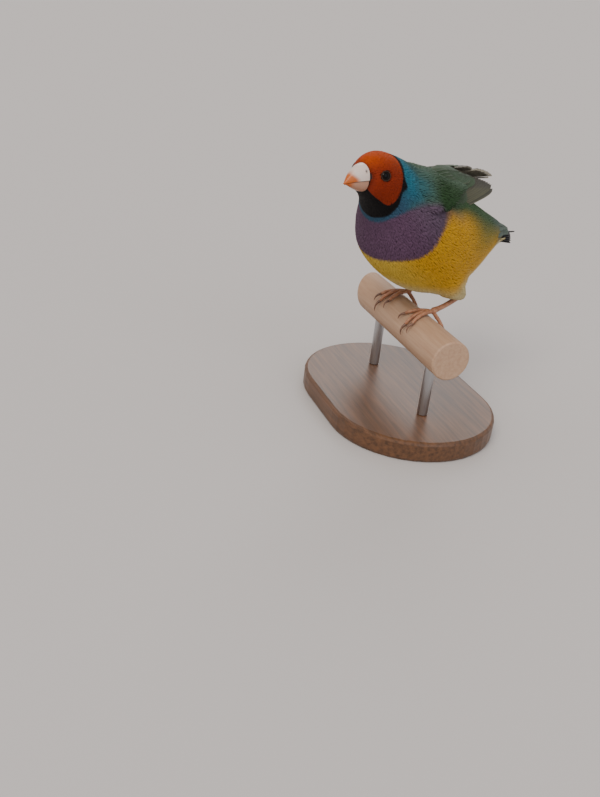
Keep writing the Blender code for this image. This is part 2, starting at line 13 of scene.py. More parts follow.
import bpy
import numpy as np
from mathutils import Matrix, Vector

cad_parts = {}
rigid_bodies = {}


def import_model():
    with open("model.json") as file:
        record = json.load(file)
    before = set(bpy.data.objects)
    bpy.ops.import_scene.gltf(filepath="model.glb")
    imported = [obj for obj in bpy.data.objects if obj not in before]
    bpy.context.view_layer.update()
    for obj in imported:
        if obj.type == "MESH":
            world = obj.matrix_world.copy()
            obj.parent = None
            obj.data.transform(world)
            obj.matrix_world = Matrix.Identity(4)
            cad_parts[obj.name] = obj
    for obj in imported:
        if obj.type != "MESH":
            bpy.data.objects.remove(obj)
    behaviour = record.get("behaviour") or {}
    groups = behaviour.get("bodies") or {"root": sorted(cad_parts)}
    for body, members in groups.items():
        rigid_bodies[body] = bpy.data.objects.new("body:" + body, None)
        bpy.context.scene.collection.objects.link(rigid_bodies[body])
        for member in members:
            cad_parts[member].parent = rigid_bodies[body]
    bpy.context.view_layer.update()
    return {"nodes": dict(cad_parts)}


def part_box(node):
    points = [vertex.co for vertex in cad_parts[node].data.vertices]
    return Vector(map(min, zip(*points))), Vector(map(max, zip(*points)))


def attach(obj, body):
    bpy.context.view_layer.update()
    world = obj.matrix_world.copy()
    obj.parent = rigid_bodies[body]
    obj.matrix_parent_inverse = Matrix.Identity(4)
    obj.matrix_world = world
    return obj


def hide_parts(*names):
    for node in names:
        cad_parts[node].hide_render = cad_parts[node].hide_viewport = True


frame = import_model()
MM = 0.001                      # a millimetre in metres
AXIS_HEIGHT = 36.0              # the perch's axis above the table, in millimetres
UP = np.array([0.0, 0.0, 1.0])
rng = np.random.default_rng(5)
print("nodes in the frame:", len(frame["nodes"]))


def metres(points):
    """Bird millimetres (x, s, h) to frame metres: x stays, s becomes minus Y and h rises by the axis."""
    p = np.asarray(points, float)
    return np.stack([p[..., 0], -p[..., 1], p[..., 2] + AXIS_HEIGHT], -1) * MM


def unit(v):
    """Directions of length one: each vector divided by the root of the sum of its squares."""
    return v / np.linalg.norm(v, axis=-1, keepdims=True)


# %% [markdown]
# ## Camera
# The camera stands where the photograph was taken from: above the bird's left front, looking down by 27
# degrees. Its place and its three directions were fitted to the perch, the bill and the feet. A
# constraint could aim it, but a matrix with the three directions as columns says the same and leaves no
# roll open. The lens follows from the focal length in pixels of a picture 797 pixels high.

# %% Camera
PICTURE_HEIGHT = 797.0          # pixels
FOCAL_PIXELS = 853.0
SENSOR = 36.0                   # millimetres along the picture's longer side
NEAREST = 0.01                  # metres
CAMERA_PLACE = np.array([197.63, -245.62, 155.3]) * MM
CAMERA_RIGHT = np.array([0.6562, 0.7478, 0.1011])
CAMERA_UP = np.array([-0.3990, 0.2301, 0.8876])
CAMERA_AHEAD = np.array([-0.6405, 0.6228, -0.4493])


def stand(thing, right, up, back, place):
    """Put a camera or lamp at a place, looking against back: the four vectors are its matrix's columns."""
    matrix = np.eye(4)
    matrix[:3, :] = np.stack([right, up, back, place], 1)
    thing.matrix_world = Matrix(matrix.tolist())
    bpy.context.scene.collection.objects.link(thing)


camera_data = bpy.data.cameras.new("photo_camera")
camera_data.sensor_width = SENSOR
camera_data.lens = SENSOR * FOCAL_PIXELS / PICTURE_HEIGHT
camera_data.clip_start = NEAREST
camera = bpy.data.objects.new("photo_camera", camera_data)
stand(camera, CAMERA_RIGHT, CAMERA_UP, -CAMERA_AHEAD, CAMERA_PLACE)
bpy.context.scene.camera = camera
print("lens in millimetres:", round(camera_data.lens, 2))


# %% [markdown]
# ## Colours, nodes and materials
# A colour is written as sRGB hex, as paint programs show it, but Blender reckons with light, so one
# function makes each value linear. A material is a tree of nodes, which could be wired by hand in the
# shader editor. Here one small function adds any node with its settings and links, so that a whole finish
# reads as a few lines.

# %% Helpers for colour and materials
def linear(code):
    """sRGB hex to linear light: c / 12.92 when dark, else ((c + 0.055) / 1.055) to the power 2.4."""
    c = np.array([int(code[i:i + 2], 16) for i in (1, 3, 5)]) / 255
    return np.where(c <= 0.04045, c / 12.92, ((c + 0.055) / 1.055) ** 2.4)


def rgba(code):
    """The linear colour with an opacity of 1 behind it, as a colour socket takes it."""
    return (*linear(code), 1.0)


def node(tree, kind, settings=(), links=()):
    """Add one node, set its properties and sockets, and link sockets of other nodes into it."""
    made = tree.nodes.new(kind)
    for key, value in dict(settings).items():
        if isinstance(key, int) or key in made.inputs.keys():
            made.inputs[key].default_value = value
        else:
            setattr(made, key, value)
    for key, socket in dict(links).items():
        tree.links.new(socket, made.inputs[key])
    return made


def finish(name, **values):
    """A new material with its Principled shader, whose sockets get the values given."""
    material = bpy.data.materials.new(name)
    material.use_nodes = True
    shader = material.node_tree.nodes["Principled BSDF"]
    for key, value in values.items():
        shader.inputs[key.replace("_", " ")].default_value = value
    return material, material.node_tree, shader


print("mid grey #808080 in linear light:", np.round(linear("#808080"), 3))


# %% [markdown]
# ## Relief and mottling
# Bare skin, horn, wood and paper all have a fine relief, and on some of them the tone goes with it. Such
# relief could be modelled, but it is far finer than the triangles, so a bump map draws it. The two
# patterns that come back on many finishes get a function each. A noise's scale counts lumps in a metre,
# so each finish divides its lumps in a millimetre by MM.

# %% Relief and mottling
def relief(tree, shader, strength, depth, vector=None, **noise):
    """A bump that follows noise, on the object's own coordinates unless a vector is given. depth is in
    metres. The noise's value comes back, so that a colour or roughness can follow it too."""
    vector = vector or node(tree, "ShaderNodeTexCoord").outputs["Object"]
    value = node(tree, "ShaderNodeTexNoise", noise, {"Vector": vector}).outputs["Fac"]
    bump = node(tree, "ShaderNodeBump", {"Strength": strength, "Distance": depth}, {"Height": value})
    tree.links.new(bump.outputs["Normal"], shader.inputs["Normal"])
    return value


def mottle(tree, shader, tones, spread, strength, depth, vector=None, **noise):
    """Relief whose colour goes with it: the first tone where the noise is under 0.5 - spread, the second
    where it is over 0.5 + spread, and a straight mix between."""
    value = relief(tree, shader, strength, depth, vector, **noise)
    ramp = node(tree, "ShaderNodeValToRGB", {}, {"Fac": value})
    for stop, tone, place in zip(ramp.color_ramp.elements, tones, (0.5 - spread, 0.5 + spread)):
        stop.position = place
        stop.color = rgba(tone)
    tree.links.new(ramp.outputs["Color"], shader.inputs["Base Color"])


print("noise scale, per metre, for a lump to each 1.1 mm:", round(0.9 / MM))


# %% [markdown]
# ## Floor
# A display piece is pictured on a sheet of pale paper. A curved sheet could hide where the floor ends,
# but it would have to fit one view. One flat square that reaches 60 metres each way has no edge near any
# camera.

# %% Floor
FLOOR_REACH = 60.0              # metres
PAPER = "#c2c1c2"
floor_mesh = bpy.data.meshes.new("paper_floor")
corners = [(FLOOR_REACH * x, FLOOR_REACH * y, 0.0) for x, y in ((-1, -1), (1, -1), (1, 1), (-1, 1))]
floor_mesh.from_pydata(corners, [], [(0, 1, 2, 3)])
floor = bpy.data.objects.new("paper_floor", floor_mesh)
bpy.context.scene.collection.objects.link(floor)
# Uncoated paper gives the eye a dull, even grey. Its grain, a lump to each 1.1 mm, only just shows.
paper, tree, shader = finish("matt_background_paper", Base_Color=rgba(PAPER), Roughness=1.0,
                             Specular_IOR_Level=0.0)
relief(tree, shader, 0.03, 0.2 * MM, Scale=0.9 / MM, Detail=3.0)
floor_mesh.materials.append(paper)
print("floor in metres across:", 2 * FLOOR_REACH)


# %% [markdown]
# ## Lamps and sky
# Big lamps near a small model give it soft shadows. Area lamps could stand for them, but their light
# falls off with distance, and the far floor would go dark. Three suns with wide discs light all of it
# alike. The sky then gets the brightness of the lit paper, so that no horizon shows. Suns that bring
# light E to the floor, and a sky of brightness b, make paper of colour c shine with c (E / pi + b), which
# is b itself when b = c E / pi / (1 - c).

# %% Lamps and sky
LAMPS = [
    # name, direction that it shines from, degrees across its disc, strength, colour
    ("key_light", (0.25, -0.75, 0.95), 35.0, 1.75, "#fff4e6"),
    ("fill_light", (0.90, -0.15, 0.45), 50.0, 0.55, "#eef3ff"),
    ("rim_light", (-0.50, 0.60, 0.55), 30.0, 0.70, "#ffffff"),
]
floor_light = np.zeros(3)
for name, place, across, strength, colour in LAMPS:
    data = bpy.data.lights.new(name, "SUN")
    data.angle = math.radians(across)
    data.energy = strength
    data.color = linear(colour)
    back = unit(np.array(place))
    right = unit(np.cross(UP, back))
    stand(bpy.data.objects.new(name, data), right, np.cross(back, right), back, place)
    floor_light += strength * back[2] * linear(colour)
sky = linear(PAPER) * floor_light / math.pi / (1 - linear(PAPER))
world = bpy.data.worlds.new("studio")
bpy.context.scene.world = world
world.use_nodes = True
world.node_tree.nodes["Background"].inputs["Color"].default_value = (*sky, 1.0)
print("light of the sky and of the paper:", np.round(sky, 3))


# %% [markdown]
# ## Meshes from arrays
# Every piece is a net of triangles over points that are worked out as whole arrays. Adding points one by
# one with bmesh reads well but takes minutes for a million triangles, while foreach_set hands Blender a
# whole array. Which way a triangle faces follows from the order of its corners, and the volume of a
# closed shape comes out negative when it is inside out, so the helper measures each shape's volume and
# turns round those that need it.

# %% One piece from arrays
def facing_out(points, triangles):
    """Turn inside-out shapes round. points is (shapes, corners, 3) and triangles the pattern of one shape.
    Volume is the sum of v0 . (v1 x v2) / 6 over the triangles, measured from the shape's own middle."""
    local = points - points.mean(1, keepdims=True)
    a, b, c = (local[:, triangles[:, k]] for k in range(3))
    volume = (a * np.cross(b, c)).sum((1, 2)) / 6
    count = points.shape[1]
    faces = triangles[None] + np.arange(len(points))[:, None, None] * count
    inside_out = volume < 0
    faces[inside_out] = faces[inside_out][:, :, ::-1]
    return faces.reshape(-1, 3)


def piece(name, points, faces, material, colours=None, bake=None, slip=None, replaces=(), crease=60):
    """Make one object of the model from (n, 3) points in bird millimetres and (m, 3) triangles. colours go to
    the attribute "plumage", bake and slip to UV maps, and edges sharper than crease degrees stay hard."""
    mesh = bpy.data.meshes.new(name)
    mesh.vertices.add(len(points))
    mesh.vertices.foreach_set("co", metres(points).astype(np.float32).ravel())
    mesh.loops.add(faces.size)
    mesh.loops.foreach_set("vertex_index", faces.astype(np.int32).ravel())
    mesh.polygons.add(len(faces))
    mesh.polygons.foreach_set("loop_start", np.arange(0, faces.size, 3, dtype=np.int32))
    mesh.update(calc_edges=True)
    if colours is not None:
        layer = mesh.color_attributes.new(name="plumage", type="FLOAT_COLOR", domain="POINT")
        full = np.ones((len(points), 4), np.float32)
        full[:, :3] = np.clip(colours, 0, 1)
        layer.data.foreach_set("color", full.ravel())
    for title, spots in (("OFBake", bake), ("slip", slip)):
        if spots is not None:
            layer = mesh.uv_layers.new(name=title)
            layer.data.foreach_set("uv", spots[faces.ravel()].astype(np.float32).ravel())
    mesh.shade_smooth()
    mesh.set_sharp_from_angle(angle=math.radians(crease))
    mesh.materials.append(material)
    thing = bpy.data.objects.new(name, mesh)
    bpy.context.scene.collection.objects.link(thing)
    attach(thing, "root")
    if replaces:
        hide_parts(*replaces)
    print(f"{name}: {len(faces)} triangles")


cube_corner = np.array([[[0, 0, 0], [1, 0, 0], [0, 1, 0], [0, 0, 1]]], float)
inward = np.array([[0, 1, 2], [0, 3, 1], [0, 2, 3], [1, 3, 2]])
print("an inside-out corner of a cube, turned round:", facing_out(cube_corner, inward).tolist())


# %% [markdown]
# ## Grids, tubes and soft borders
# Most parts of a bird are a bent sheet or a round limb, so two nets of triangles do for nearly all of
# them. Each piece could list its own triangles, but one function that joins the neighbours of any grid,
# and one that closes a row of rings with a fan at each end, can be checked once and trusted. Shapes and
# colours that give way to each other gently all share one curve, smooth_step.

# %% Grids, tubes and steps
def grid_faces(rows, columns, wrap=True, ring=False):
    """Triangles between neighbours of a grid of points: the corners a, b, d and a, d, c of each square. wrap
    joins the last column to the first, and ring the last row to the first."""
    i, j = np.meshgrid(np.arange(rows if ring else rows - 1), np.arange(columns if wrap else columns - 1),
                       indexing="ij")
    below = (i + 1) % rows * columns
    a, b = i * columns + j, i * columns + (j + 1) % columns
    c, d = below + j, below + (j + 1) % columns
    return np.concatenate([np.stack([a, b, d], -1).reshape(-1, 3), np.stack([a, d, c], -1).reshape(-1, 3)])


def closed_tube(rings):
    """A closed skin over (rows, columns, 3) rings: the grid's triangles and a fan from each end's middle."""
    rows, columns = rings.shape[:2]
    points = np.concatenate([rings.reshape(-1, 3), rings[:1].mean(1), rings[-1:].mean(1)])
    j = np.arange(columns)
    k = (j + 1) % columns
    first = np.full(columns, rows * columns)
    base = (rows - 1) * columns
    caps = [np.stack([first, k, j], 1), np.stack([first + 1, base + j, base + k], 1)]
    faces = np.concatenate([grid_faces(rows, columns), *caps])
    return points, facing_out(points[None], faces)


def joined(shapes):
    """Several (points, faces) shapes as one pair of arrays."""
    starts = np.cumsum([0] + [len(points) for points, faces in shapes[:-1]])
    every_face = [faces + start for (points, faces), start in zip(shapes, starts)]
    return np.concatenate([points for points, faces in shapes]), np.concatenate(every_face)


def full_turn(count):
    """Evenly spaced angles once round."""
    return np.arange(count) * 2 * math.pi / count


def smooth_step(x, low, high):
    """0 below low, 1 above high and 3t^2 - 2t^3 between."""
    t = np.clip((x - low) / (high - low), 0, 1)
    return t * t * (3 - 2 * t)


print("triangles of a 4 by 5 grid, open and joined all round:", len(grid_faces(4, 5, False)),
      len(grid_faces(4, 5, True, True)))


# %% [markdown]
# ## The body as a function of two parameters
# A bird's body is a string of rounded sections. It could be sculpted, but then nothing else would know
# its shape. Here each row gives the point on the back, the point on the breast and half the width.
# `place` counts the rows from the bill's base to the root of the tail, and `angle` goes round from the
# back, so any point of the body is body(place, angle, height), where height stands off from the solid's
# surface. Skin, markings and feathers all use this one function, so they can't drift apart.

# %% The body's outline
BODY = np.array([
    # s back, h back, s breast, h breast, half width
    (36.6, 64.0, 35.9, 54.8, 4.4),
    (34.0, 66.3, 34.0, 52.4, 6.8),
    (29.2, 67.3, 30.6, 49.4, 8.4),
    (22.0, 65.6, 28.4, 44.8, 9.4),
    (14.5, 62.8, 27.6, 40.0, 12.0),
    (6.8, 59.4, 26.9, 34.8, 15.6),
    (-1.0, 56.0, 24.6, 28.6, 18.0),
    (-9.0, 53.0, 16.2, 21.2, 18.7),
    (-17.4, 49.3, 4.0, 14.8, 17.8),
    (-26.2, 45.2, -8.6, 12.4, 15.2),
    (-35.6, 41.0, -20.8, 14.8, 11.4),
    (-44.4, 37.3, -33.6, 19.4, 7.8),
    (-51.0, 34.3, -44.0, 23.6, 5.4),
    (-54.6, 31.8, -51.6, 26.0, 3.6),
])
LAST_PLACE = len(BODY) - 1.0
NECK_END, NECK_FADE = 6.0, 3.5  # the place where the neck has ended, and how many places a turn takes to fade
HEAD_TURN = math.radians(3.0)
HEAD_SIDE = -1.2                # shift of the head along x, so to the bird's right
HEAD_PIVOT = 18.0               # s of the upright line that the head turns about
BACK_TAPER = 0.06               # share by which a section is narrower near the back and wider near the breast
REAR_FROM, REAR_BEND = -8.0, 0.0022     # s where the rear starts to bend right, and its x per square of s


def turned_head(points, place):
    """Turn the head to its left about an upright line and shift it, both fading out down the neck."""
    fade = smooth_step(NECK_END - place, 0.0, NECK_FADE)
    turn = HEAD_TURN * fade
    x, s, h = np.moveaxis(points, -1, 0)
    across = x * np.cos(turn) + np.sin(turn) * (s - HEAD_PIVOT) + HEAD_SIDE * fade
    ahead = HEAD_PIVOT + np.cos(turn) * (s - HEAD_PIVOT) - np.sin(turn) * x
    return np.stack([across, ahead, h], -1)


print("rows of the body:", len(BODY), "and degrees of the head's turn:", round(math.degrees(HEAD_TURN), 1))


# %% [markdown]
# ## The body's surface
# Between two rows the body should be as smooth as a real bird's. Straight lines from row to row would
# leave a crease at each row, so every number follows a curve that passes through all rows. Across the
# body a section is an ellipse, a little wider near the breast. The head looks slightly aside and the rear
# bends away, because a living bird hardly ever sits quite straight.

# %% The body's surface
def body(place, angle, height=0.0):
    """A point of the body. Between rows each number follows a Catmull-Rom curve; a section is an ellipse
    whose axes are the back-to-breast line and the width; the rear bends right with the square of its
    distance."""
    place, angle, height = np.broadcast_arrays(*(np.asarray(v, float) for v in (place, angle, height)))
    row = np.clip(np.floor(place).astype(int), 0, len(BODY) - 2)
    t = (place - row)[..., None]
    p0, p1, p2, p3 = (BODY[np.clip(row + k, 0, len(BODY) - 1)] for k in (-1, 0, 1, 2))
    curve = 0.5 * (2 * p1 + (p2 - p0) * t + (2 * p0 - 5 * p1 + 4 * p2 - p3) * t ** 2
                   + (p3 - 3 * p2 + 3 * p1 - p0) * t ** 3)
    back_s, back_h, breast_s, breast_h, half = np.moveaxis(curve, -1, 0)
    along_s, along_h = (back_s - breast_s) / 2, (back_h - breast_h) / 2
    reach = np.hypot(along_s, along_h)
    lift = (reach + height) * np.cos(angle)
    middle_s = (back_s + breast_s) / 2
    x = (half + height) * np.sin(angle) * (1 - BACK_TAPER * np.cos(angle))
    x = x - np.where(place > NECK_END, REAR_BEND * np.minimum(middle_s - REAR_FROM, 0) ** 2, 0)
    s = middle_s + lift * along_s / reach
    h = (back_h + breast_h) / 2 + lift * along_h / reach
    return turned_head(np.stack([x, s, h], -1), place)


back_line = body(np.linspace(0, LAST_PLACE, 50), 0.0)
print("length of the body in millimetres:", round(float(np.ptp(back_line[:, 1])), 1))


# %% [markdown]
# ## Markings
# A Gouldian finch wears bands of flat colour: an orange-red mask, a black line that widens into a bib, a
# turquoise collar, a purple breast, a golden belly and a green back. An image could carry them, but bands
# on a body are simpler as borders: each border says at which place one colour gives way to the next, as a
# curve of the angle round the body. Skin and feathers ask the same function for their colour.

# %% Borders of the markings
MASK_ANGLE = 2.52               # the mask ends this far round, above the chin
MASK_POWER = 6.0                # how square the mask's lower rear corner is


def bell(x, middle, width):
    """exp(-((x - middle) / width)^2): 1 at the middle, falling to nothing on both sides."""
    return np.exp(-((x - middle) / width) ** 2)


def mask_edge(angle):
    """Place of the mask's rear border: a superellipse, (place / reach)^6 + (angle / 2.52)^6 = 1."""
    reach = 2.60 + 0.25 * np.minimum(angle, 1.0)
    inside = 1 - np.minimum(angle / MASK_ANGLE, 1.0) ** MASK_POWER
    return np.where(angle < MASK_ANGLE, reach * inside ** (1 / MASK_POWER), -1.0)


def bib_edge(angle):
    """Place of the black band's rear border: 2.80 over the nape and 2.98 beside it, with a bell of 0.27 as
    its corner behind the cheek, then 0.14 more at the side of the throat and 0.10 less under the chin."""
    nape = 2.80 + 0.18 * np.minimum(angle / 0.5, 1.0)
    throat = 0.14 * smooth_step(angle, 1.6, 2.0) - 0.10 * smooth_step(angle, 2.3, 2.9)
    return nape + 0.27 * bell(angle, 1.36, 0.17) + throat


def collar_edge(angle):
    """Place of the turquoise collar's rear border: 3.36 under the bib and 4.34 over the nape, with a bell of
    0.30 beside the nape."""
    return 3.36 + 0.98 * (1 - smooth_step(angle, 1.0, 2.6)) + 0.30 * bell(angle, 1.25, 0.35)


def belly_edge(angle):
    """Place where the purple breast meets the yellow belly: 5.84, with a bell of 0.38 on the bird's side, and
    0.15 more where it runs under the wing."""
    return 5.84 + 0.38 * bell(angle, 1.98, 0.5) + 0.15 * (1 - smooth_step(angle, 1.1, 1.7))


def back_border(place):
    """Angle where the green back ends: 1.42 less 0.22 for each place down the side of the neck, then level
    along the flank, from 1.04 to 0.90."""
    return np.where(place < 5.8, 1.42 - 0.22 * (place - 4.06), 1.04 - 0.14 * smooth_step(place, 5.8, 7.5))


print("rear border of the bib over the nape and under the chin:", np.round(bib_edge(np.array([0.0, 3.1])), 2))


# %% [markdown]
# ## The plumage's colours
# Each band has one or two colours, taken from the real bird as the photograph shows it. They could be
# mixed in a shader with masks, but skin and feathers would then need the same tree of nodes twice. One
# function paints band over band from the tail forwards, as a painter lays one wash over another, and
# every piece stores what it says.

# %% Colour of the plumage at a place and angle
# The mask's two colours are painted light on the crown and painted shade low on the cheek.
MASK_LIT, MASK_SHADED, BIB = linear("#b04407"), linear("#84290a"), linear("#070607")
COLLAR_BACK, COLLAR, COLLAR_LOW = linear("#345754"), linear("#286b80"), linear("#2b4b62")
BREAST, BREAST_SIDE = linear("#563e56"), linear("#56485a")
# The dull colour for the flank here is painted shade under the folded wing.
BELLY, BELLY_LOW, SHADE_UNDER_WING, VENT = linear("#ba8c12"), linear("#c5a73c"), linear("#8a764c"), linear("#c9bb88")
MANTLE, BACK, RUMP, RUMP_SIDE = linear("#435a49"), linear("#2f4d2c"), linear("#42554c"), linear("#6b6820")


def blend(first, second, share):
    """first + share (second - first), for colours or spots, with a share for each point."""
    first, second = np.asarray(first), np.asarray(second)
    return first + (second - first) * np.asarray(share)[..., None]


def before(x, edge, soft):
    """1 before a border and 0 behind it, with a smooth step of twice soft between."""
    return 1 - smooth_step(x, edge - soft, edge + soft)


def plumage(place, angle):
    """Linear colour of the plumage, painted band over band from the tail forwards."""
    angle = np.abs((angle + math.pi) % (2 * math.pi) - math.pi)
    # The belly is golden, paler along its middle line, and turns cream behind a slanting line at the legs.
    colour = blend(BELLY, BELLY_LOW, smooth_step(angle, 2.1, 2.8))
    cream = smooth_step(place - (7.1 + 2.0 * (2.95 - np.minimum(angle, 2.95))), -0.5, 0.9)
    colour = blend(colour, VENT, cream * smooth_step(angle, 1.5, 2.0))
    # Painted shade turns the flank a dull grey-brown just under the wing's lower edge, and the flank is olive
    # beside the rump.
    colour = blend(colour, SHADE_UNDER_WING, 0.8 * bell(place, 6.5, 0.6) * bell(angle, 1.0, 0.15))
    olive = smooth_step(place, 7.0, 9.2) * (1 - smooth_step(angle, 0.95, 1.75))
    colour = blend(colour, RUMP_SIDE, 0.85 * olive)
    # The breast is purple, with a border that is sharp in front and soft under the wing.
    breast = blend(BREAST_SIDE, BREAST, smooth_step(angle, 1.2, 2.2))
    soft = 0.10 + 0.40 * (1 - smooth_step(angle, 1.0, 1.6))
    colour = blend(colour, breast, before(place, belly_edge(angle), soft))
    # The back is green: greyer on the mantle, deepest in the middle and bluish on the rump.
    back = blend(MANTLE, BACK, smooth_step(place, 5.2, 7.2))
    back = blend(back, RUMP, smooth_step(place, 9.6, 11.2))
    soft = 0.10 + 0.22 * smooth_step(place, 6.2, 8.2)
    colour = blend(colour, back, before(angle, back_border(place), soft))
    colour = blend(colour, RUMP, 0.8 * smooth_step(place, 10.8, 12.0) * (1 - smooth_step(angle, 1.6, 2.2)))
    # The collar is bright turquoise behind the black band and fades into the green over the nape.
    low = smooth_step(angle, 0.4, 1.0)
    bright = 1 - smooth_step(place - bib_edge(angle), 0.15 + 0.2 * low, 0.75 + 0.9 * low)
    collar = blend(COLLAR_BACK, blend(COLLAR, COLLAR_LOW, smooth_step(angle, 1.0, 2.0)), bright)
    soft = 0.12 + 0.40 * (1 - smooth_step(angle, 1.0, 1.9))
    colour = blend(colour, collar, before(place, collar_edge(angle), soft))
    # The black band and the mask come last, with sharp borders. The mask has painted light on the crown and
    # painted shade, darker and redder, low on the cheek.
    colour = blend(colour, BIB, before(place, bib_edge(angle), 0.05))
    mask = blend(MASK_LIT, MASK_SHADED, smooth_step(angle, 0.15, 1.25))
    return blend(colour, mask, before(place, mask_edge(angle), 0.04))


print("colour on the crown:", np.round(plumage(np.array(1.0), np.array(0.2)), 3))


# %% [markdown]
# ## Thighs
# A thigh is a short drumstick that comes out of the belly's feathers. It could be a mesh with feathers
# projected onto it, but a function of two parameters, like the body's, lets the same coat of feathers
# grow on it. Its place runs from above the knee to the heel, and its angle goes round.

# %% Places of the thighs
HEEL = np.array([10.4, -16.6, 12.4])
KNEE = np.array([10.7, -5.0, 20.6])
THIGH_AT = np.array([-0.22, -0.12, 0.08, 0.3, 0.55, 0.8, 1.0])  # shares of the way from knee to heel
THIGH_RADIUS = np.array([2.6, 4.6, 5.9, 5.6, 4.5, 3.2, 2.1])


def on_side(point, side):
    """The point for the left side, 1, or its mirror image for the right, -1."""
    return point * np.array([side, 1.0, 1.0])


def thigh(side):
    """The thigh's surface as a function: circles along the line from knee to heel."""
    start, end = on_side(KNEE, side), on_side(HEEL, side)
    d = unit(end - start)
    across = unit(np.cross(UP, d))
    up = np.cross(d, across)

    def surface(place, angle, height=0.0):
        t = np.interp(place, np.arange(len(THIGH_AT)), THIGH_AT)
        radius = np.interp(place, np.arange(len(THIGH_AT)), THIGH_RADIUS) + height
        ring = np.cos(angle)[..., None] * up + np.sin(angle)[..., None] * across
        return start + (end - start) * t[..., None] + radius[..., None] * ring
    return surface


print("thigh from knee to heel in millimetres:", round(float(np.linalg.norm(HEEL - KNEE)), 1))


# %% [markdown]
# ## Folded wings
# A folded wing is a shallow dish that hugs the flank. A flat wing could be bent to this shape by a
# lattice, but every quill and covert has to know where it lies. So a wing has its own directions: a from
# wrist to tip, b across it to its inner edge and n outwards, and everything on it is placed by those
# three numbers. Its arm, which wears small feathers, is a surface of place and angle like the body's.

# %% Places of the wings
WING_WRIST = np.array([17.0, 12.0, 51.3])
WING_POSE = {
    # wing tip, direction across the wing to its inner edge, and how far the inner feathers stay spread
    1: ((-3.0, -44.0, 51.6), (-0.74, 0.05, 0.67), 0.40),
    -1: ((10.5, -44.6, 54.6), (-0.85, 0.05, 0.44), 0.70),
}
FOLD_START, FOLD_END = 7.0, 35.0                # a where the wing starts and ends closing up
CAMBER_B, CAMBER_A = (8.0, 0.012), (24.0, 0.0009)       # crown of the camber, and drop per square from it
ARM = np.array([
    # a, middle b, half width, half thickness
    (-2.2, 4.6, 1.8, 0.8),
    (0.0, 5.4, 3.9, 1.5),
    (4.0, 6.4, 5.9, 1.8),
    (9.0, 7.2, 6.8, 1.8),
    (14.0, 7.8, 6.9, 1.5),
    (19.0, 8.4, 6.4, 1.1),
    (22.5, 8.8, 5.4, 0.7),
])


def wing_axes(side):
    """The wing's own directions: a from wrist to tip, b across to the inner edge and n outwards."""
    tip, hint, spread = WING_POSE[side]
    a = unit(np.array(tip) - WING_WRIST)
    b = unit(np.array(hint) - a * np.dot(a, hint))
    n = np.cross(a, b)
    return a, b, n if n[2] > 0 else -n


def wing(side, pa, pb, pn):
    """A point on a wing: wrist + a pa + b pb + n pn, where pb closes up towards the tip as a fan does, and n
    drops with the squares of pb - 8 and pa - 24, which gives the wing its camber."""
    a, b, n = wing_axes(side)
    pa, pb, pn = np.broadcast_arrays(pa, pb, pn)
    closing = (1 - WING_POSE[side][2]) * smooth_step(pa, FOLD_START, FOLD_END)
    pb = np.where(pb > 0, pb * (1 - closing), pb)
    up = pn - CAMBER_B[1] * (pb - CAMBER_B[0]) ** 2 - CAMBER_A[1] * (pa - CAMBER_A[0]) ** 2
    return on_side(WING_WRIST + pa[..., None] * a + pb[..., None] * b + up[..., None] * n, side)


def arm(side):
    """The arm's surface as a function: an ellipse at each station along the wing."""
    def surface(place, angle, height=0.0):
        pa, middle, half, deep = (np.interp(place, np.arange(len(ARM)), ARM[:, k]) for k in range(4))
        return wing(side, pa, middle + (half + height) * np.cos(angle), (deep + height) * np.sin(angle))
    return surface


left_wing = np.array(WING_POSE[1][0]) - WING_WRIST
print("left wing from wrist to tip in millimetres:", round(float(np.linalg.norm(left_wing)), 1))


# %% [markdown]
# ## One skin
# Under the feathers a bird's skin runs without a break from the bill to the tail, over the thighs and the
# arms of the wings. It could be left out, as the coat covers it, but light would then leak in wherever
# feathers part. It lies under the solids' surface by the depth of the coat: shallow on the face and
# deeper on the breast. It is one piece, stands for the solids of the head, neck, torso, rump and thighs,
# and carries the coat's own markings, darkened as painted shade under the coat, with a black rim of
# painted shadow where it meets the bill.

# %% The skin
SKIN_START = 0.1                # place of its first ring, behind the bill
SKIN_SHADE, THIGH_SHADE, ARM_SHADE = 0.85, 0.8, 0.6     # painted shade: how much darker the skin is than the feathers over it
THIGH_DEPTH, ARM_DEPTH = 0.5, 0.25              # skin under the surfaces of thigh and arm
WING_GREEN = linear("#2a4627")


def coat_depth(place):
    """How far the skin lies under the solid's surface: 0.4 mm at the bill to 1.1 mm on the body."""
    return 0.40 + 0.70 * smooth_step(place, 0.5, 5.0)


def skin_of(surface, first, last, depth, rows, columns=64):
    """A closed skin over one surface function, depth under it, with the place and angle of each point."""
    place, angle = np.meshgrid(np.linspace(first, last, rows), full_turn(columns), indexing="ij")
    shape = closed_tube(surface(place, angle, -depth(place)))
    return shape, np.append(place.ravel(), [first, last]), np.append(angle.ravel(), [0.0, 0.0])


# Living skin gives the eye a dull, soft surface with fine pores, 0.4 mm apart, in the plumage's colours.
feather_skin, tree, shader = finish("skin_under_feathers", Roughness=0.75)
tint = node(tree, "ShaderNodeAttribute", {"attribute_name": "plumage"})
tree.links.new(tint.outputs["Color"], shader.inputs["Base Color"])
relief(tree, shader, 0.3, 0.2 * MM, Scale=2.5 / MM)

shape, place, angle = skin_of(body, SKIN_START, LAST_PLACE, coat_depth, 150, 96)
# Painted shadow: the skin's front rim by the bill goes black, and behind it the skin has the plumage's
# colours darkened as painted shade.
behind_shadow_rim = smooth_step(place, SKIN_START, 0.25)
shapes, colours = [shape], [blend(BIB, plumage(place, angle) * SKIN_SHADE, behind_shadow_rim)]
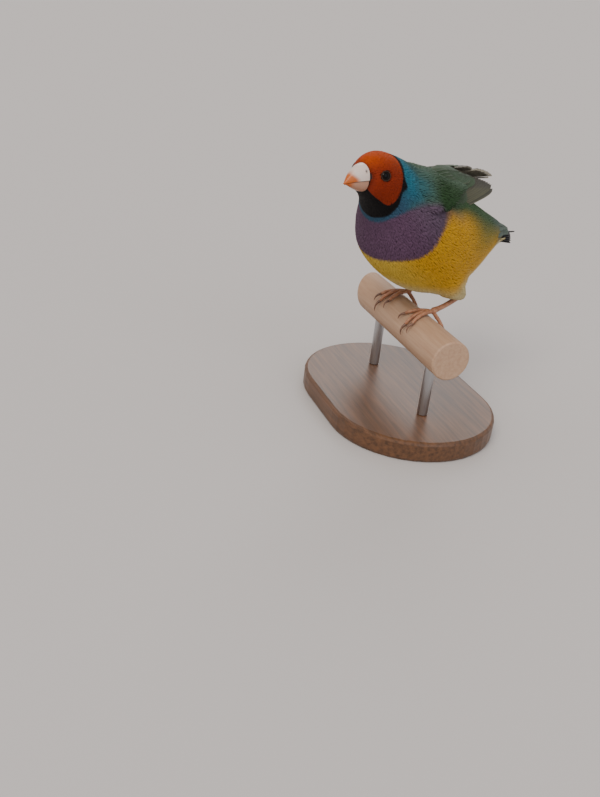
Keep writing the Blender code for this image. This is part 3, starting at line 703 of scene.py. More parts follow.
# The skin of the thighs and arms is cream and wing green, darkened as painted shade under their coats.
for side in (1, -1):
    for surface, first, depth, rows, tone in ((thigh(side), 0.0, THIGH_DEPTH, 24, VENT * THIGH_SHADE),
                                              (arm(side), 1.5, ARM_DEPTH, 30, WING_GREEN * ARM_SHADE)):
        shape, place, angle = skin_of(surface, first, 6.0, lambda p: depth, rows)
        shapes.append(shape)
        colours.append(np.tile(tone, (len(place), 1)))
piece("skin", *joined(shapes), feather_skin, np.concatenate(colours),
      replaces=("head", "neck", "torso", "rump", "thigh_left", "thigh_right"))


# %% [markdown]
# ## The shape of a small feather
# Contour feathers are small curved vanes that lie like roof tiles: each starts deep at the skin, rises,
# and ends over the roots of the next. Particle hair would be the quick way, but it is lost in an export,
# so every feather is a thin closed mesh. One feather is five stations of three points: two edges and a
# raised shaft. Its stations are asked from the surface function at growing place and height, so it bends
# with the body by itself.

# %% Feathers over any surface
STATION = np.array([0.0, 0.35, 0.68, 0.90, 1.0])        # shares of the feather's length
OUTLINE = np.array([0.40, 0.95, 0.95, 0.55, 0.10])      # share of its width at each station
SHADE = np.array([0.72, 0.86, 0.98, 1.03, 1.05])        # painted shade at the root, where others cover it, and painted light at the tip
SIDES = np.array([-1.0, 0.0, 1.0])                      # left edge, shaft and right edge
SHAFT_CREST = 0.16              # how far the shaft stands up, as a share of the width


def feather_faces(stations):
    """Triangles of one feather: three strips between its stations, and a cap at each end."""
    tip = (stations - 1) * 3
    return np.concatenate([grid_faces(stations, 3), [[0, 2, 1], [tip, tip + 1, tip + 2]]])


def stretch(surface, place, angle):
    """Millimetres that one unit of place and one radian of angle are worth at each spot."""
    step = 0.01
    down = np.linalg.norm(surface(place + step, angle) - surface(place - step, angle), axis=-1) / (2 * step)
    round_ = np.linalg.norm(surface(place, angle + step) - surface(place, angle - step), axis=-1) / (2 * step)
    return down, round_


def feather_shapes(surface, place, angle, length, width, depth, limit, lift, drift):
    """Corners of every feather, (feathers, 15, 3), with their own places and angles. At station t the place
    grows by length t over the stretch, the angle by the drift and by half the width to each side, and the
    height goes from -depth up to lift t^3."""
    down, round_ = stretch(surface, place, angle)
    t, outline, side = STATION[None, :, None], OUTLINE[None, :, None], SIDES[None, None, :]
    place, angle, length, width, depth, lift, drift, down, round_ = (
        v[:, None, None] for v in (place, angle, length, width, depth, lift, drift, down, round_))
    p = np.minimum(place + (length / down) * t + 0 * side, limit)
    a = angle + (drift * length / round_) * t + (width / 2 / round_) * outline * side
    h = lift * t ** 3 - (1 - t) ** 2 * depth + SHAFT_CREST * width * (1 - np.abs(side)) * outline
    count = len(place)
    return surface(p, a, h).reshape(count, -1, 3), p.reshape(count, -1), a.reshape(count, -1)


FEATHER = feather_faces(len(STATION))
print("triangles of one small feather:", len(FEATHER))


# %% [markdown]
# ## Where feathers grow
# Feathers grow in rows, each row's roots between those of the row before. Points scattered at random
# would leave gaps, so the rows are laid out on the surface, a set distance apart in millimetres.

# %% Rows of roots
def roots(surface, start, end, along, across):
    """Roots in staggered rows: rows along(place) apart where they are widest, roots across(place) apart."""
    places, angles = [], []
    place, odd = start, 0
    fine = np.linspace(-math.pi, math.pi, 361)
    while place < end:
        ring = surface(np.full(fine.shape, place), fine)
        arc = np.append(0.0, np.cumsum(np.linalg.norm(np.diff(ring, axis=0), axis=-1)))
        count = max(6, int(arc[-1] / across(place)))
        spots = (np.arange(count) + 0.5 * odd) / count * arc[-1]
        angles.append(np.interp(spots, arc, fine))
        places.append(np.full(count, place))
        down, _ = stretch(surface, np.full(60, place), fine[::6][:60])
        place += along(place) / np.quantile(down, 0.8)
        odd = 1 - odd
    return np.concatenate(places), np.concatenate(angles)


every_two = roots(body, 0.0, LAST_PLACE, lambda p: 2.0, lambda p: 2.0)
print("roots on the body if they were 2 mm apart:", len(every_two[0]))


# %% [markdown]
# ## How a coat is made
# Every feather is a little different from its neighbours in place, length, lift, lean and tone, which
# keeps the rows from looking knitted. Instances of one feather would be lighter, but they couldn't bend
# with the body or carry its markings, so all feathers of a band are worked out together as arrays and
# become one piece. The export bakes colours onto a UV map, so each feather also gets a small patch of its
# own there.

# %% One piece of coat
BAKE_PATCH = 0.0015             # half the side of a feather's patch on the map
SLIDE, SWING = 0.010, 0.006     # spread of a feather's place, for each millimetre of length, and of its angle
LENGTH_RANGE = 0.15             # share by which a feather may be longer or shorter
LIFT, DRIFT, TONE = 0.012, 0.06, 0.06   # spreads of a tip's lift and lean, for each millimetre, and of tone


def bake_spots(place, angle, last):
    """Each feather's small patch, at its root's place on the unwrapped skin: u is its share of the way round,
    v its share of the way down."""
    u = (angle + math.pi) % (2 * math.pi) / (2 * math.pi)
    v = place / last
    side = np.tile(SIDES, len(STATION))
    along = np.repeat(STATION * 2 - 1, 3)
    spots = np.stack([u[:, None] + BAKE_PATCH * side, v[:, None] + BAKE_PATCH * along], -1)
    return np.clip(spots, 0, 1)


def coat(name, surface, roots_at, sizes, paint, limit, last, keep=None):
    """One piece of coat. sizes gives each root's length, width and depth, and paint the colour at a place
    and angle. No feather reaches beyond the place limit, and last is where the unwrapped skin ends. keep says
    which feathers stay. Half of a point's colour place is its own and half its feather's tip's, so that
    borders are soft but still made of feathers."""
    place, angle = roots_at
    length, width, depth = (np.broadcast_to(v, place.shape) for v in sizes)
    n = len(place)
    place = place + rng.normal(0, SLIDE, n) * length
    angle = angle + rng.normal(0, SWING, n)
    length = length * rng.uniform(1 - LENGTH_RANGE, 1 + LENGTH_RANGE, n)
    lift = np.abs(rng.normal(0, LIFT, n)) * length
    drift = rng.normal(0, DRIFT, n)
    shapes, at_place, at_angle = feather_shapes(surface, place, angle, length, width, depth, limit, lift,
                                                drift)
    tone = 1 + rng.normal(0, TONE, n)
    if keep is not None:
        chosen = keep(shapes)
        shapes, at_place, at_angle, place, angle, tone = (
            v[chosen] for v in (shapes, at_place, at_angle, place, angle, tone))
    painted = paint(0.5 * at_place + 0.5 * at_place[:, -5:-4], at_angle)
    # Each feather gets painted shade towards its root, where others cover it, and painted light at its tip.
    colours = painted * tone[:, None, None] * np.repeat(SHADE, 3)[None, :, None]
    offset = rng.uniform(0, 50, (len(place), 1, 2))
    slip = np.stack([np.tile((SIDES + 1) / 2, len(STATION)), np.repeat(STATION, 3)], -1)[None] + offset
    piece(name, shapes.reshape(-1, 3), facing_out(shapes, FEATHER), contour, colours.reshape(-1, 3),
          bake_spots(place, angle, last).reshape(-1, 2), slip.reshape(-1, 2), crease=180)


print("side of a feather's patch, as a share of its bake map:", 2 * BAKE_PATCH)


# %% [markdown]
# ## Finish of a small feather
# A vane is made of fine barbs of keratin that run from the shaft to the edge. Keratin itself shines like
# a fingernail, but thousands of barbs scatter the light, so a coat looks soft, with only a faint gloss.
# The barbs could be hair curves, but they are finer than a pixel here. Streaks on the feather's own UV
# map, slip, are enough.

# %% Contour feather keratin
STREAKS = (9.0, 1.2, 1.0)       # streaks across and along one feather, which is 0.3 to 1.0 mm wide

# Matt barbs give the eye a soft, dry surface. Real barbs lie 0.05 mm apart, which is too fine to show, so
# they are drawn as nine streaks to a feather's width, about 0.1 mm each.
contour, tree, shader = finish("contour_feather_keratin", Roughness=0.65, Specular_IOR_Level=0.18)
tint = node(tree, "ShaderNodeAttribute", {"attribute_name": "plumage"})
slip_map = node(tree, "ShaderNodeUVMap", {"uv_map": "slip"})
drawn_out = node(tree, "ShaderNodeMapping", {"Scale": STREAKS}, {"Vector": slip_map.outputs["UV"]})
barbs = relief(tree, shader, 0.35, 0.1 * MM, drawn_out.outputs["Vector"], Scale=1.0, Detail=2.0)
streak = node(tree, "ShaderNodeMapRange", {"From Min": 0.3, "From Max": 0.7, "To Min": 0.90, "To Max": 1.08},
              {"Value": barbs})
painted = node(tree, "ShaderNodeVectorMath", {"operation": "SCALE"},
               {"Vector": tint.outputs["Color"], "Scale": streak.outputs["Result"]})
tree.links.new(painted.outputs["Vector"], shader.inputs["Base Color"])
print("nodes in the small feathers' material:", len(tree.nodes))


# %% [markdown]
# ## Feather sizes
# A finch's feathers are smallest round the bill, where it must see past them, and grow towards the rump.
# One size could do for all, but the face would look shaggy and the rump scaly. So length and width follow
# the place, from 1.3 mm on the forehead to 4.6 mm on the rump, and the rows keep their share of overlap.

# %% Feather sizes down the body
FEATHER_SIZES = np.array([
    # place, length, width
    (0.0, 1.3, 0.32),
    (1.5, 1.6, 0.38),
    (2.8, 2.4, 0.52),
    (4.5, 3.4, 0.72),
    (7.0, 4.2, 0.92),
    (13.0, 4.6, 1.02),
])
ROW_STEP, ROOT_STEP = 0.24, 0.50        # rows apart as a share of the length, roots as a share of the width


def feather_length(place):
    """Length in millimetres, on a straight line between the rows of the table."""
    return np.interp(place, FEATHER_SIZES[:, 0], FEATHER_SIZES[:, 1])


def feather_width(place):
    """Width in millimetres, on a straight line between the rows of the table."""
    return np.interp(place, FEATHER_SIZES[:, 0], FEATHER_SIZES[:, 2])


print("feather on the breast in millimetres:", feather_length(5.0), feather_width(5.0))


# %% [markdown]
# ## Room for the eyes
# A bird's eye sits in a bare ring of lid, and no feather may grow over it. A mask could be painted by
# hand, but the eyes' places are known from the solids. Each eye looks out along the line from its middle
# to the nearest point of the head's surface, and every feather that comes too near to that line is left
# out.

# %% Where the eyes look out
EYE_CLEAR = 1.64                # millimetres off the line of sight that stay free, as far as the lid's ring
EYES = {}
for side, name in ((1, "eye_left"), (-1, "eye_right")):
    low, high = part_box(name)
    middle = (np.array(low) + np.array(high)) / 2 / MM
    centre = np.array([middle[0], -middle[1], middle[2] - AXIS_HEIGHT])
    p, a = np.meshgrid(np.linspace(0.5, 2.2, 120), np.linspace(0.9, 1.8, 120) * side, indexing="ij")
    cheek = body(p, a).reshape(-1, 3)
    nearest = cheek[np.argmin(np.linalg.norm(cheek - centre, axis=-1))]
    EYES[side] = (centre, unit(nearest - centre), (high[2] - low[2]) / 2 / MM)
    print(name, "centre", np.round(centre, 2), "radius", round(EYES[side][2], 2))


def clear_of_eyes(shapes):
    """True for each feather that stays further than the lid from both eyes' own lines of sight."""
    free = np.ones(len(shapes), bool)
    for centre, axis, radius in EYES.values():
        away = shapes - centre
        ahead = away @ axis
        off = np.linalg.norm(away - ahead[..., None] * axis, axis=-1)
        free &= ~((off < EYE_CLEAR) & (ahead > 0)).any(1)
    return free


# %% [markdown]
# ## The body's coat
# The coat on the real bird has no seams. One mesh for all of it would be too heavy to handle, so it is
# made in nine bands from the bill to the tail. Each band's feathers lie over the roots of the next, so no
# join shows.

# %% The body's coat, in bands
RUMP_REACH = 0.25               # places by which the last feathers may reach past the body's end
BANDS = [
    # piece, place where its roots start, and where they end
    ("coat_forehead", -0.13, 1.1),
    ("coat_cheeks", 1.1, 1.9),
    ("coat_crown", 1.9, 2.8),
    ("coat_nape", 2.8, 3.9),
    ("coat_collar", 3.9, 5.2),
    ("coat_breast", 5.2, 6.9),
    ("coat_belly", 6.9, 8.8),
    ("coat_flanks", 8.8, 10.6),
    ("coat_rump", 10.6, 12.9),
]
for name, start, end in BANDS:
    spots = roots(body, start, end, lambda p: ROW_STEP * feather_length(p),
                  lambda p: ROOT_STEP * feather_width(p))
    sizes = feather_length(spots[0]), feather_width(spots[0]), coat_depth(spots[0])
    coat(name, body, spots, sizes, plumage, LAST_PLACE + RUMP_REACH, LAST_PLACE, clear_of_eyes)


# %% [markdown]
# ## Coats of the thighs
# A finch's thigh wears short plain feathers down to the heel, like trousers. A tapered tube with a fuzzy
# texture might do from far off. The same coat as the body's, grown on the thigh's own function, holds up
# from near.

# %% Coats of the thighs
THIGH_FEATHER = (3.0, 0.58, THIGH_DEPTH)        # length, width and depth of the root
THIGH_ROWS, THIGH_ROOTS = 0.75, 0.40            # millimetres between rows, and between roots in a row


def thigh_colour(place, angle):
    """Belly yellow at the knee, cream towards the heel."""
    return blend(blend(BELLY, VENT, 0.2), VENT, smooth_step(place, 1.6, 4.2))


for side, hand in ((1, "left"), (-1, "right")):
    spots = roots(thigh(side), 0.3, 5.7, lambda p: THIGH_ROWS, lambda p: THIGH_ROOTS)
    coat("coat_thigh_" + hand, thigh(side), spots, THIGH_FEATHER, thigh_colour, 6.4, 6.0)


# %% [markdown]
# ## Belly feathers that run on over the thighs
# On the real bird the long belly feathers cover the knee, so no edge shows where the thigh starts. The
# two meshes could be welded, but their feathers would still part there. Instead one more coat grows on
# the body's surface, lifted by a smooth bell over the front of each thigh, and bridges the step.

# %% Coat of the knees
KNEE_PLACES, KNEE_LIFTS = [7.3, 7.9, 8.2, 8.5, 8.9, 9.6], [0.0, 0.8, 2.0, 3.7, 4.6, 5.2]
RIDGE_PLACE, RIDGE_ANGLE, RIDGE_SLANT = 8.2, 2.28, 0.12 # a spot of the thigh's ridge, and angle per place
RIDGE_WIDTH, KNEE_REACH = 0.27, 0.46            # width of the bell, and how far off the ridge feathers grow
KNEE_FEATHER = (4.0, 0.85, 0.9)                 # length, width and depth of the root


def off_ridge(place, angle):
    """Angle away from the ridge of the thigh, whose own angle is 2.28 + 0.12 (place - 8.2) on each side."""
    return np.abs(angle) - RIDGE_ANGLE - RIDGE_SLANT * (place - RIDGE_PLACE)


def over_thigh(place, angle, height=0.0):
    """The body's surface, lifted over the front of each thigh by a bell of the angle off its ridge."""
    lift = np.interp(place, KNEE_PLACES, KNEE_LIFTS)
    return body(place, angle, height + lift * bell(off_ridge(place, angle), 0.0, RIDGE_WIDTH))


def knee_colour(place, angle):
    """The belly's markings, paler behind the knee."""
    return blend(plumage(place, angle), VENT, 0.5 * smooth_step(place, 8.4, 9.4))


place, angle = roots(over_thigh, 7.2, 8.75, lambda p: 0.9, lambda p: 0.42)
inside = np.abs(off_ridge(place, angle)) < KNEE_REACH
spots = place[inside], angle[inside]
coat("coat_knees", over_thigh, spots, KNEE_FEATHER, knee_colour, LAST_PLACE, LAST_PLACE)


# %% [markdown]
# ## A flight feather as a closed sheet
# A flight feather is a long vane on a shaft, cambered across like a wing of its own. A flat card with a
# picture of a feather is the usual short cut, but it has no edge and no shadow of its own. Here it is a
# sheet with two sides: a grid of stations along the shaft by columns across, once for the top and once
# for the underside, joined round the rim. The shaft is the middle column, raised a little.

# %% A vane as a closed sheet
COLUMNS = np.array([-1.0, -0.8, -0.55, -0.3, -0.09, 0.0, 0.09, 0.3, 0.55, 0.8, 1.0])   # edge to edge
VANE_STATIONS = 22
ALONG = np.linspace(0, 1, VANE_STATIONS)
W_GRID, T_GRID = (g.ravel() for g in np.meshgrid(COLUMNS, ALONG))
SHAFT_RISE, SHAFT_WIDTH = 0.16, 0.07            # millimetres up, and share of half the vane's width
ROOT_SHARE, SWELL_END = 0.5, 0.25               # share of the width at the root, and where it is full
LEAST_HALF = 0.06                               # half width left at the tip, in millimetres


def sheet_faces(rows, columns):
    """Triangles of a two-sided sheet: top grid, bottom grid and the rim between them."""
    count = rows * columns
    top = grid_faces(rows, columns, wrap=False)
    bottom = top[:, ::-1] + count
    rim = np.concatenate([np.arange(columns), columns * np.arange(1, rows) + columns - 1,
                          (rows - 1) * columns + np.arange(columns - 2, -1, -1),
                          columns * np.arange(rows - 2, 0, -1)])
    after = np.roll(rim, -1)
    wall = [np.stack([after, rim, rim + count], 1), np.stack([after, rim + count, after + count], 1)]
    return np.concatenate([top, bottom, *wall])


def straight(start, end):
    """The line from start to end, a point for each station."""
    return start + (end - start) * ALONG[:, None]


def vane_sheet(path, normal, half, thick, camber, tilt):
    """Corners of one vane. Across the path x = half w; the height is x sin(tilt) - camber w^2, plus and minus
    half the thickness, and the shaft stands up as a bell at w = 0 that tapers to the tip."""
    d = unit(np.gradient(path, axis=0))
    across = unit(np.cross(normal, d))
    up = np.cross(d, across)
    w = COLUMNS[None, :]
    x = half[:, None] * w
    shaft = SHAFT_RISE * bell(w, 0.0, SHAFT_WIDTH) * (1 - 0.7 * ALONG[:, None])
    height = x * math.sin(tilt) - camber * w ** 2
    deep = thick / 2 * (1 - 0.6 * np.abs(w))
    base = path[:, None, :] + across[:, None, :] * (x * math.cos(tilt))[..., None]
    top = base + up[:, None, :] * (height + deep + shaft)[..., None]
    bottom = base + up[:, None, :] * (height - deep - 0.5 * shaft)[..., None]
    return np.concatenate([top.reshape(-1, 3), bottom.reshape(-1, 3)])


def vane_outline(width, tip_power):
    """Half width along the vane: swells from half of it at the root as t^0.5 and closes at the tip as
    (1 - t^k)^0.6."""
    swell = ROOT_SHARE + (1 - ROOT_SHARE) * np.minimum(ALONG / SWELL_END, 1) ** 0.5
    return np.maximum(width / 2 * swell * (1 - ALONG ** tip_power) ** 0.6, LEAST_HALF)


SHEET = sheet_faces(VANE_STATIONS, len(COLUMNS))
print("triangles of one flight feather:", len(SHEET))


# %% [markdown]
# ## Finish of a flight feather
# A quill's barbs lock into a firm sheet, so it is smoother and shinier than a small feather. Its barbs
# slant from the shaft towards the tip, and each feather has cloudy lighter and darker patches from wear.
# A photograph could be laid on it, but a sine wave along the feather's own UV map draws the barbs, and
# noise draws the patches.

# %% Flight feather keratin
BARB_SLANT = 0.10               # share of the vane's length that a barb gains on its way to the edge
BARB_WAVE = 520.0               # radians of the wave over one vane, which is 83 barbs
PATCHES = 16.0                  # patches of wear over one vane, about 3 mm each

# Locked keratin barbs give the eye a satin sheet with fine slanting lines. Real barbs lie 0.3 mm apart,
# which is too fine to show, so they are drawn 0.6 mm apart on the longest quill.
flight, tree, shader = finish("flight_feather_keratin", Roughness=0.55, Specular_IOR_Level=0.25)
tint = node(tree, "ShaderNodeAttribute", {"attribute_name": "plumage"})
slip_map = node(tree, "ShaderNodeUVMap", {"uv_map": "slip"})
parts = node(tree, "ShaderNodeSeparateXYZ", {}, {"Vector": slip_map.outputs["UV"]})
off_shaft = node(tree, "ShaderNodeMath", {"operation": "ABSOLUTE"}, {0: parts.outputs["X"]})
slant = node(tree, "ShaderNodeMath", {"operation": "MULTIPLY", 1: BARB_SLANT},
             {0: off_shaft.outputs["Value"]})
along = node(tree, "ShaderNodeMath", {"operation": "SUBTRACT"},
             {0: parts.outputs["Y"], 1: slant.outputs["Value"]})
lines = node(tree, "ShaderNodeMath", {"operation": "MULTIPLY", 1: BARB_WAVE}, {0: along.outputs["Value"]})
wave = node(tree, "ShaderNodeMath", {"operation": "SINE"}, {0: lines.outputs["Value"]})
wear = node(tree, "ShaderNodeTexNoise", {"Scale": PATCHES, "Detail": 3.0}, {"Vector": slip_map.outputs["UV"]})
streak = node(tree, "ShaderNodeMapRange", {"From Min": 0.3, "From Max": 0.7, "To Min": 0.80, "To Max": 1.20},
              {"Value": wear.outputs["Fac"]})
painted = node(tree, "ShaderNodeVectorMath", {"operation": "SCALE"},
               {"Vector": tint.outputs["Color"], "Scale": streak.outputs["Result"]})
tree.links.new(painted.outputs["Vector"], shader.inputs["Base Color"])
bump = node(tree, "ShaderNodeBump", {"Strength": 0.25, "Distance": 0.1 * MM},
            {"Height": wave.outputs["Value"]})
tree.links.new(bump.outputs["Normal"], shader.inputs["Normal"])
print("nodes in the flight feathers' material:", len(tree.nodes))


# %% [markdown]
# ## Colours of the wing
# A Gouldian finch's quills are brown-grey with a thin paler edge, and its coverts are green. On each
# quill the part that others cover, its inner web, is paler, which also keeps neighbours apart to the eye.
# Each colour could be a material of its own. Here every point of a vane gets its colour from w across it
# and t along it.

# %% Colours over one vane
QUILL, QUILL_EDGE, QUILL_UNDER = linear("#2e2f25"), linear("#585b41"), linear("#8f8a7a")
COVERT_GREEN, COVERT_DARK, TERTIAL_GREEN = linear("#233f22"), linear("#162a17"), linear("#2f4a34")
EDGE_SOFT = 0.2                 # half the width of the step between a quill's edge colour and its middle


def plain(colour):
    """One colour for every point of a vane's top."""
    return np.tile(colour, (W_GRID.size, 1))


def quill_colour(side, edge, share, pale=0.2):
    """Brown-grey vane with a dark shaft, paler on its inner web, with the edge colour over a share of its
    outer width."""
    outer = smooth_step(W_GRID * side, 1 - share - EDGE_SOFT, 1 - share + EDGE_SOFT)
    inner = smooth_step(-W_GRID * side, 0.0, 0.7)
    dark = 1 - 0.35 * bell(W_GRID, 0.0, 0.06)
    return blend(blend(plain(QUILL), QUILL_UNDER, pale * inner), edge, outer) * dark[:, None]


def covert_colour(green, dark_middle):
    """Green vane, darker along the middle and towards the root, with a thin paler rim."""
    middle = (1 - np.abs(W_GRID)) ** 1.3 * smooth_step(T_GRID, 0.1, 0.8)
    dark = middle + 0.6 * (1 - smooth_step(T_GRID, 0.3, 0.7))
    vane = blend(plain(green), COVERT_DARK, np.clip(dark_middle * dark, 0, 1))
    rim = np.maximum(smooth_step(np.abs(W_GRID), 0.75, 1.0), smooth_step(T_GRID, 0.95, 1.0))
    return blend(vane, QUILL_EDGE, 0.35 * rim)


def arm_colour(place, angle):
    """Lesser coverts: green above and grey-brown below the wing."""
    under = smooth_step(-np.sin(angle), 0.0, 0.5)
    return blend(blend(COVERT_GREEN, MANTLE, 0.2), QUILL, under)


print("colour on a quill's outer edge:", np.round(quill_colour(1, QUILL_EDGE, 0.12)[-1], 3))


# %% [markdown]
# ## Quills
# A finch's wing has nine long primaries on the hand, six shorter secondaries on the forearm and three
# tertials that cover them when it is folded. One fan-shaped sheet could stand for all, but then no edges
# would cast shadows. Each quill is a vane of its own between two spots of the wing's plane, and the loops
# step from the first to the last of a row, with f going from 0 to 1. The roots lie under the coverts.

# %% Primaries, secondaries and tertials
PRIMARIES, SECONDARIES, TERTIALS = 9, 6, 3
WING_LENGTH = 62.0              # folded, from the wrist to the tip
HAND_STEPS, HAND_FAN = 17.0, 12.6       # how far the innermost tip lies behind and inside the wing's tip
OUTER_CUT = 1.6                 # the outermost primary is this much shorter
TIP_JITTER = 0.15
VANE_THICK, VANE_CAMBER = 0.22, 0.014   # thickness, and drop of the edges per square of the width


def wing_vane(side, root, tip, width, levels, tilt, bow, tip_power, colour):
    """A vane between two spots of the wing's own plane, each with its level above it, bowed up on its way as
    4 bow t (1 - t)."""
    t = ALONG[:, None]
    up = on_side(wing_axes(side)[2], side)
    path = straight(wing(side, root[0], root[1], levels[0]), wing(side, tip[0], tip[1], levels[1]))
    path = path + up * (bow * 4 * t * (1 - t))
    half = vane_outline(width, tip_power)
    tone = rng.uniform(0.90, 1.08)
    camber = VANE_CAMBER * width ** 2
    return vane_sheet(path, up, half, VANE_THICK, camber, math.radians(tilt) * side), colour * tone


def primaries(side):
    """From the innermost, f = 0, to the outermost. Tips lie at a = 62 - 17 (1 - f)^1.3 and
    b = 12.6 (1 - f)^1.05 - 1.6 f, and the roots move out along the hand."""
    quills = []
    for f in np.linspace(0, 1, PRIMARIES):
        tip = (WING_LENGTH - HAND_STEPS * (1 - f) ** 1.3 - OUTER_CUT * (f == 1.0),
               HAND_FAN * (1 - f) ** 1.05 - 1.6 * f + rng.uniform(-TIP_JITTER, TIP_JITTER))
        level = -0.6 - 0.4 * f
        quills.append(wing_vane(side, blend((6.0, 5.6), (15.0, -0.8), f), tip, 6.2 - 1.4 * f, (level, level),
                                10.0, 0.6, 4.0, quill_colour(side, QUILL_EDGE, 0.12, 0.8)))
    return quills


def secondaries(side):
    """From the outermost, f = 0, to the innermost: tips step back and inwards in even steps."""
    quills = []
    for f in np.linspace(0, 1, SECONDARIES):
        tip = blend((42.0, 12.2), (36.0, 17.6), f) + (0.0, rng.uniform(-TIP_JITTER, TIP_JITTER))
        quills.append(wing_vane(side, blend((9.0, 6.2), (13.0, 12.4), f), tip, 6.4, (0.3 * f, 0.3 * f),
                                10.0, 0.6, 7.0, quill_colour(side, COVERT_GREEN, 0.9)))
    return quills


def tertials(side):
    """Three broad green vanes on top, each shorter and further in than the one below."""
    quills = []
    for f in np.linspace(0, 1, TERTIALS):
        root, tip = blend((10.0, 9.5), (11.0, 12.9), f), blend((36.0, 14.6), (28.0, 18.2), f)
        quills.append(wing_vane(side, root, tip, 6.6, (0.5 + 0.3 * f, 0.8 + 0.3 * f), 8.0, 0.7, 6.0,
                                covert_colour(TERTIAL_GREEN, 0.8)))
    return quills


wing_tip = wing(1, WING_LENGTH, 0.0, 0.0) - wing(1, 0.0, 0.0, 0.0)
print("left wing from wrist to tip in millimetres:", round(float(np.linalg.norm(wing_tip)), 1))


# %% [markdown]
# ## Coverts
# Coverts lie in rows over the roots of the quills, and over them the arm wears scale-like lesser coverts.
# They could be painted on, but their rims catch the light. Rows of small vanes are laid the same way as
# the quills, and the arm gets a coat of small feathers.

# %% Coverts
COVERT_JITTER = 0.35
COVERT_ROWS = [
    # count, root and tip of its first vane, root and tip of its last, width, levels, and whether it is grey
    (7, (12.0, 4.6), (28.5, 5.4), (12.0, -0.6), (26.9, -0.3), 3.0, (-0.2, -0.3), True),     # primary coverts
    (8, (11.0, 3.2), (26.0, 4.0), (11.0, 13.4), (24.4, 15.6), 3.4, (0.5, 1.05), False),     # greater coverts
    (8, (7.5, 2.4), (20.5, 3.0), (7.5, 12.6), (18.9, 14.6), 3.2, (0.9, 1.6), False),        # median coverts
    (3, (5.0, 1.6), (16.0, 1.0), (5.0, 0.4), (14.4, -0.6), 2.4, (0.6, 0.5), True),          # alula
]
ARM_FEATHER = (3.4, 1.15, 0.3)                  # length, width and depth of the root
ARM_ROWS, ARM_ROOTS = 0.8, 0.75                 # millimetres between rows, and between roots in a row


def coverts(side):
    """Vanes in rows, each with its root and tip on straight lines from the row's first to its last."""
    vanes = []
    for count, first_root, first_tip, last_root, last_tip, width, levels, grey in COVERT_ROWS:
        for f in np.linspace(0, 1, count):
            tip = blend(first_tip, last_tip, f) + (rng.uniform(-COVERT_JITTER, COVERT_JITTER), 0.0)
            paint = quill_colour(side, COVERT_GREEN, 0.6) if grey else covert_colour(COVERT_GREEN, 0.6)
            root = blend(first_root, last_root, f)
            vanes.append(wing_vane(side, root, tip, width, levels, 7.0, 0.35, 4.0, paint))
    return vanes


print("coverts on each wing:", sum(row[0] for row in COVERT_ROWS))


# %% [markdown]
# ## Both wings
# A folded wing shows only parts of its feathers, but each of them is whole, with a top and an underside.
# Every vane could be an object of its own, but dozens of small objects are hard to handle, and the export
# bakes one map for each piece. So all vanes of one kind make one piece for each wing, and each side of a
# vane gets its own cell of that map.

# %% Both wings
def vane_bake(index, total):
    """A cell of its own in a square of cells for the top and bottom of each vane."""
    cells = math.ceil(math.sqrt(total * 2))
    flat = np.stack([(W_GRID + 1) / 2, T_GRID], -1) * 0.9 + 0.05
    two = (2 * index, 2 * index + 1)
    return np.concatenate([(flat + np.array([k % cells, k // cells])) / cells for k in two])


def vane_piece(name, vanes, replaces=(), under=None):
    """Join vanes, each (corners, colours over the top grid), into one piece. The underside's colour is 0.8 of
    the top's, or 0.3 of it with 0.7 of the colour under."""
    corners = np.array([v[0] for v in vanes])
    colours = np.array([np.concatenate([v[1], v[1] * 0.8 if under is None else 0.3 * v[1] + 0.7 * under])
                        for v in vanes])
    bake = np.array([vane_bake(i, len(vanes)) for i in range(len(vanes))])
    one = np.stack([W_GRID, T_GRID], -1)
    slip = np.tile(np.concatenate([one, one])[None], (len(vanes), 1, 1))
    slip = slip + np.arange(len(vanes))[:, None, None] * np.array([0.0, 1.37])
    piece(name, corners.reshape(-1, 3), facing_out(corners, SHEET), flight, colours.reshape(-1, 3),
          bake.reshape(-1, 2), slip.reshape(-1, 2), replaces, crease=45)


for side, hand in ((1, "left"), (-1, "right")):
    vane_piece("quills_" + hand, primaries(side) + secondaries(side) + tertials(side), ("wing_" + hand,),
               QUILL_UNDER)
    vane_piece("coverts_" + hand, coverts(side))
    spots = roots(arm(side), 0.9, 4.2, lambda p: ARM_ROWS, lambda p: ARM_ROOTS)
    coat("coat_arm_" + hand, arm(side), spots, ARM_FEATHER, arm_colour, 6.1, 6.0)


# %% [markdown]
# ## Feathers of the back and breast that lie over the wings
# When a finch sits at rest, it tucks the front of its folded wings under the feathers of its back and
# breast. Moving the body's coat out of the way by hand would take long. Instead one more coat grows on
# the body's surface, lifted by the thickness of the wing wherever a wing lies on it, and its colours turn
# from the body's to the wing's green.

# %% Coat of the mantle
FRONT_ANGLES = [0.0, 0.17, 0.30, 0.58, 0.93, 1.14, 1.25, 1.5]   # the folded wing's front edge: its place
FRONT_PLACES = [5.3, 5.15, 4.85, 4.58, 4.40, 4.50, 4.85, 5.6]   # at each angle off the back
LEAD_PLACES = [4.4, 4.85, 5.1, 5.55, 5.97, 6.35, 7.15]          # its leading edge: its angle
LEAD_ANGLES = [1.44, 1.42, 1.36, 1.20, 1.00, 0.80, 0.46]        # at each place
MANTLE_PLACES, MANTLE_REACH = [3.8, 4.8, 5.2, 5.8, 6.6], [1.45, 1.40, 1.12, 0.66, 0.36]
MANTLE_ENDS = MANTLE_PLACES[0], MANTLE_PLACES[-1]
MANTLE_LENGTHS, MANTLE_WIDTHS = (3.0, 5.4), (0.62, 1.05)        # at the first and the last place
MANTLE_ROWS, MANTLE_ROOTS = 0.85, 0.42


def behind_front(place, angle):
    """How many places a spot lies behind the wing's front edge."""
    return place - np.interp(np.abs(angle), FRONT_ANGLES, FRONT_PLACES)


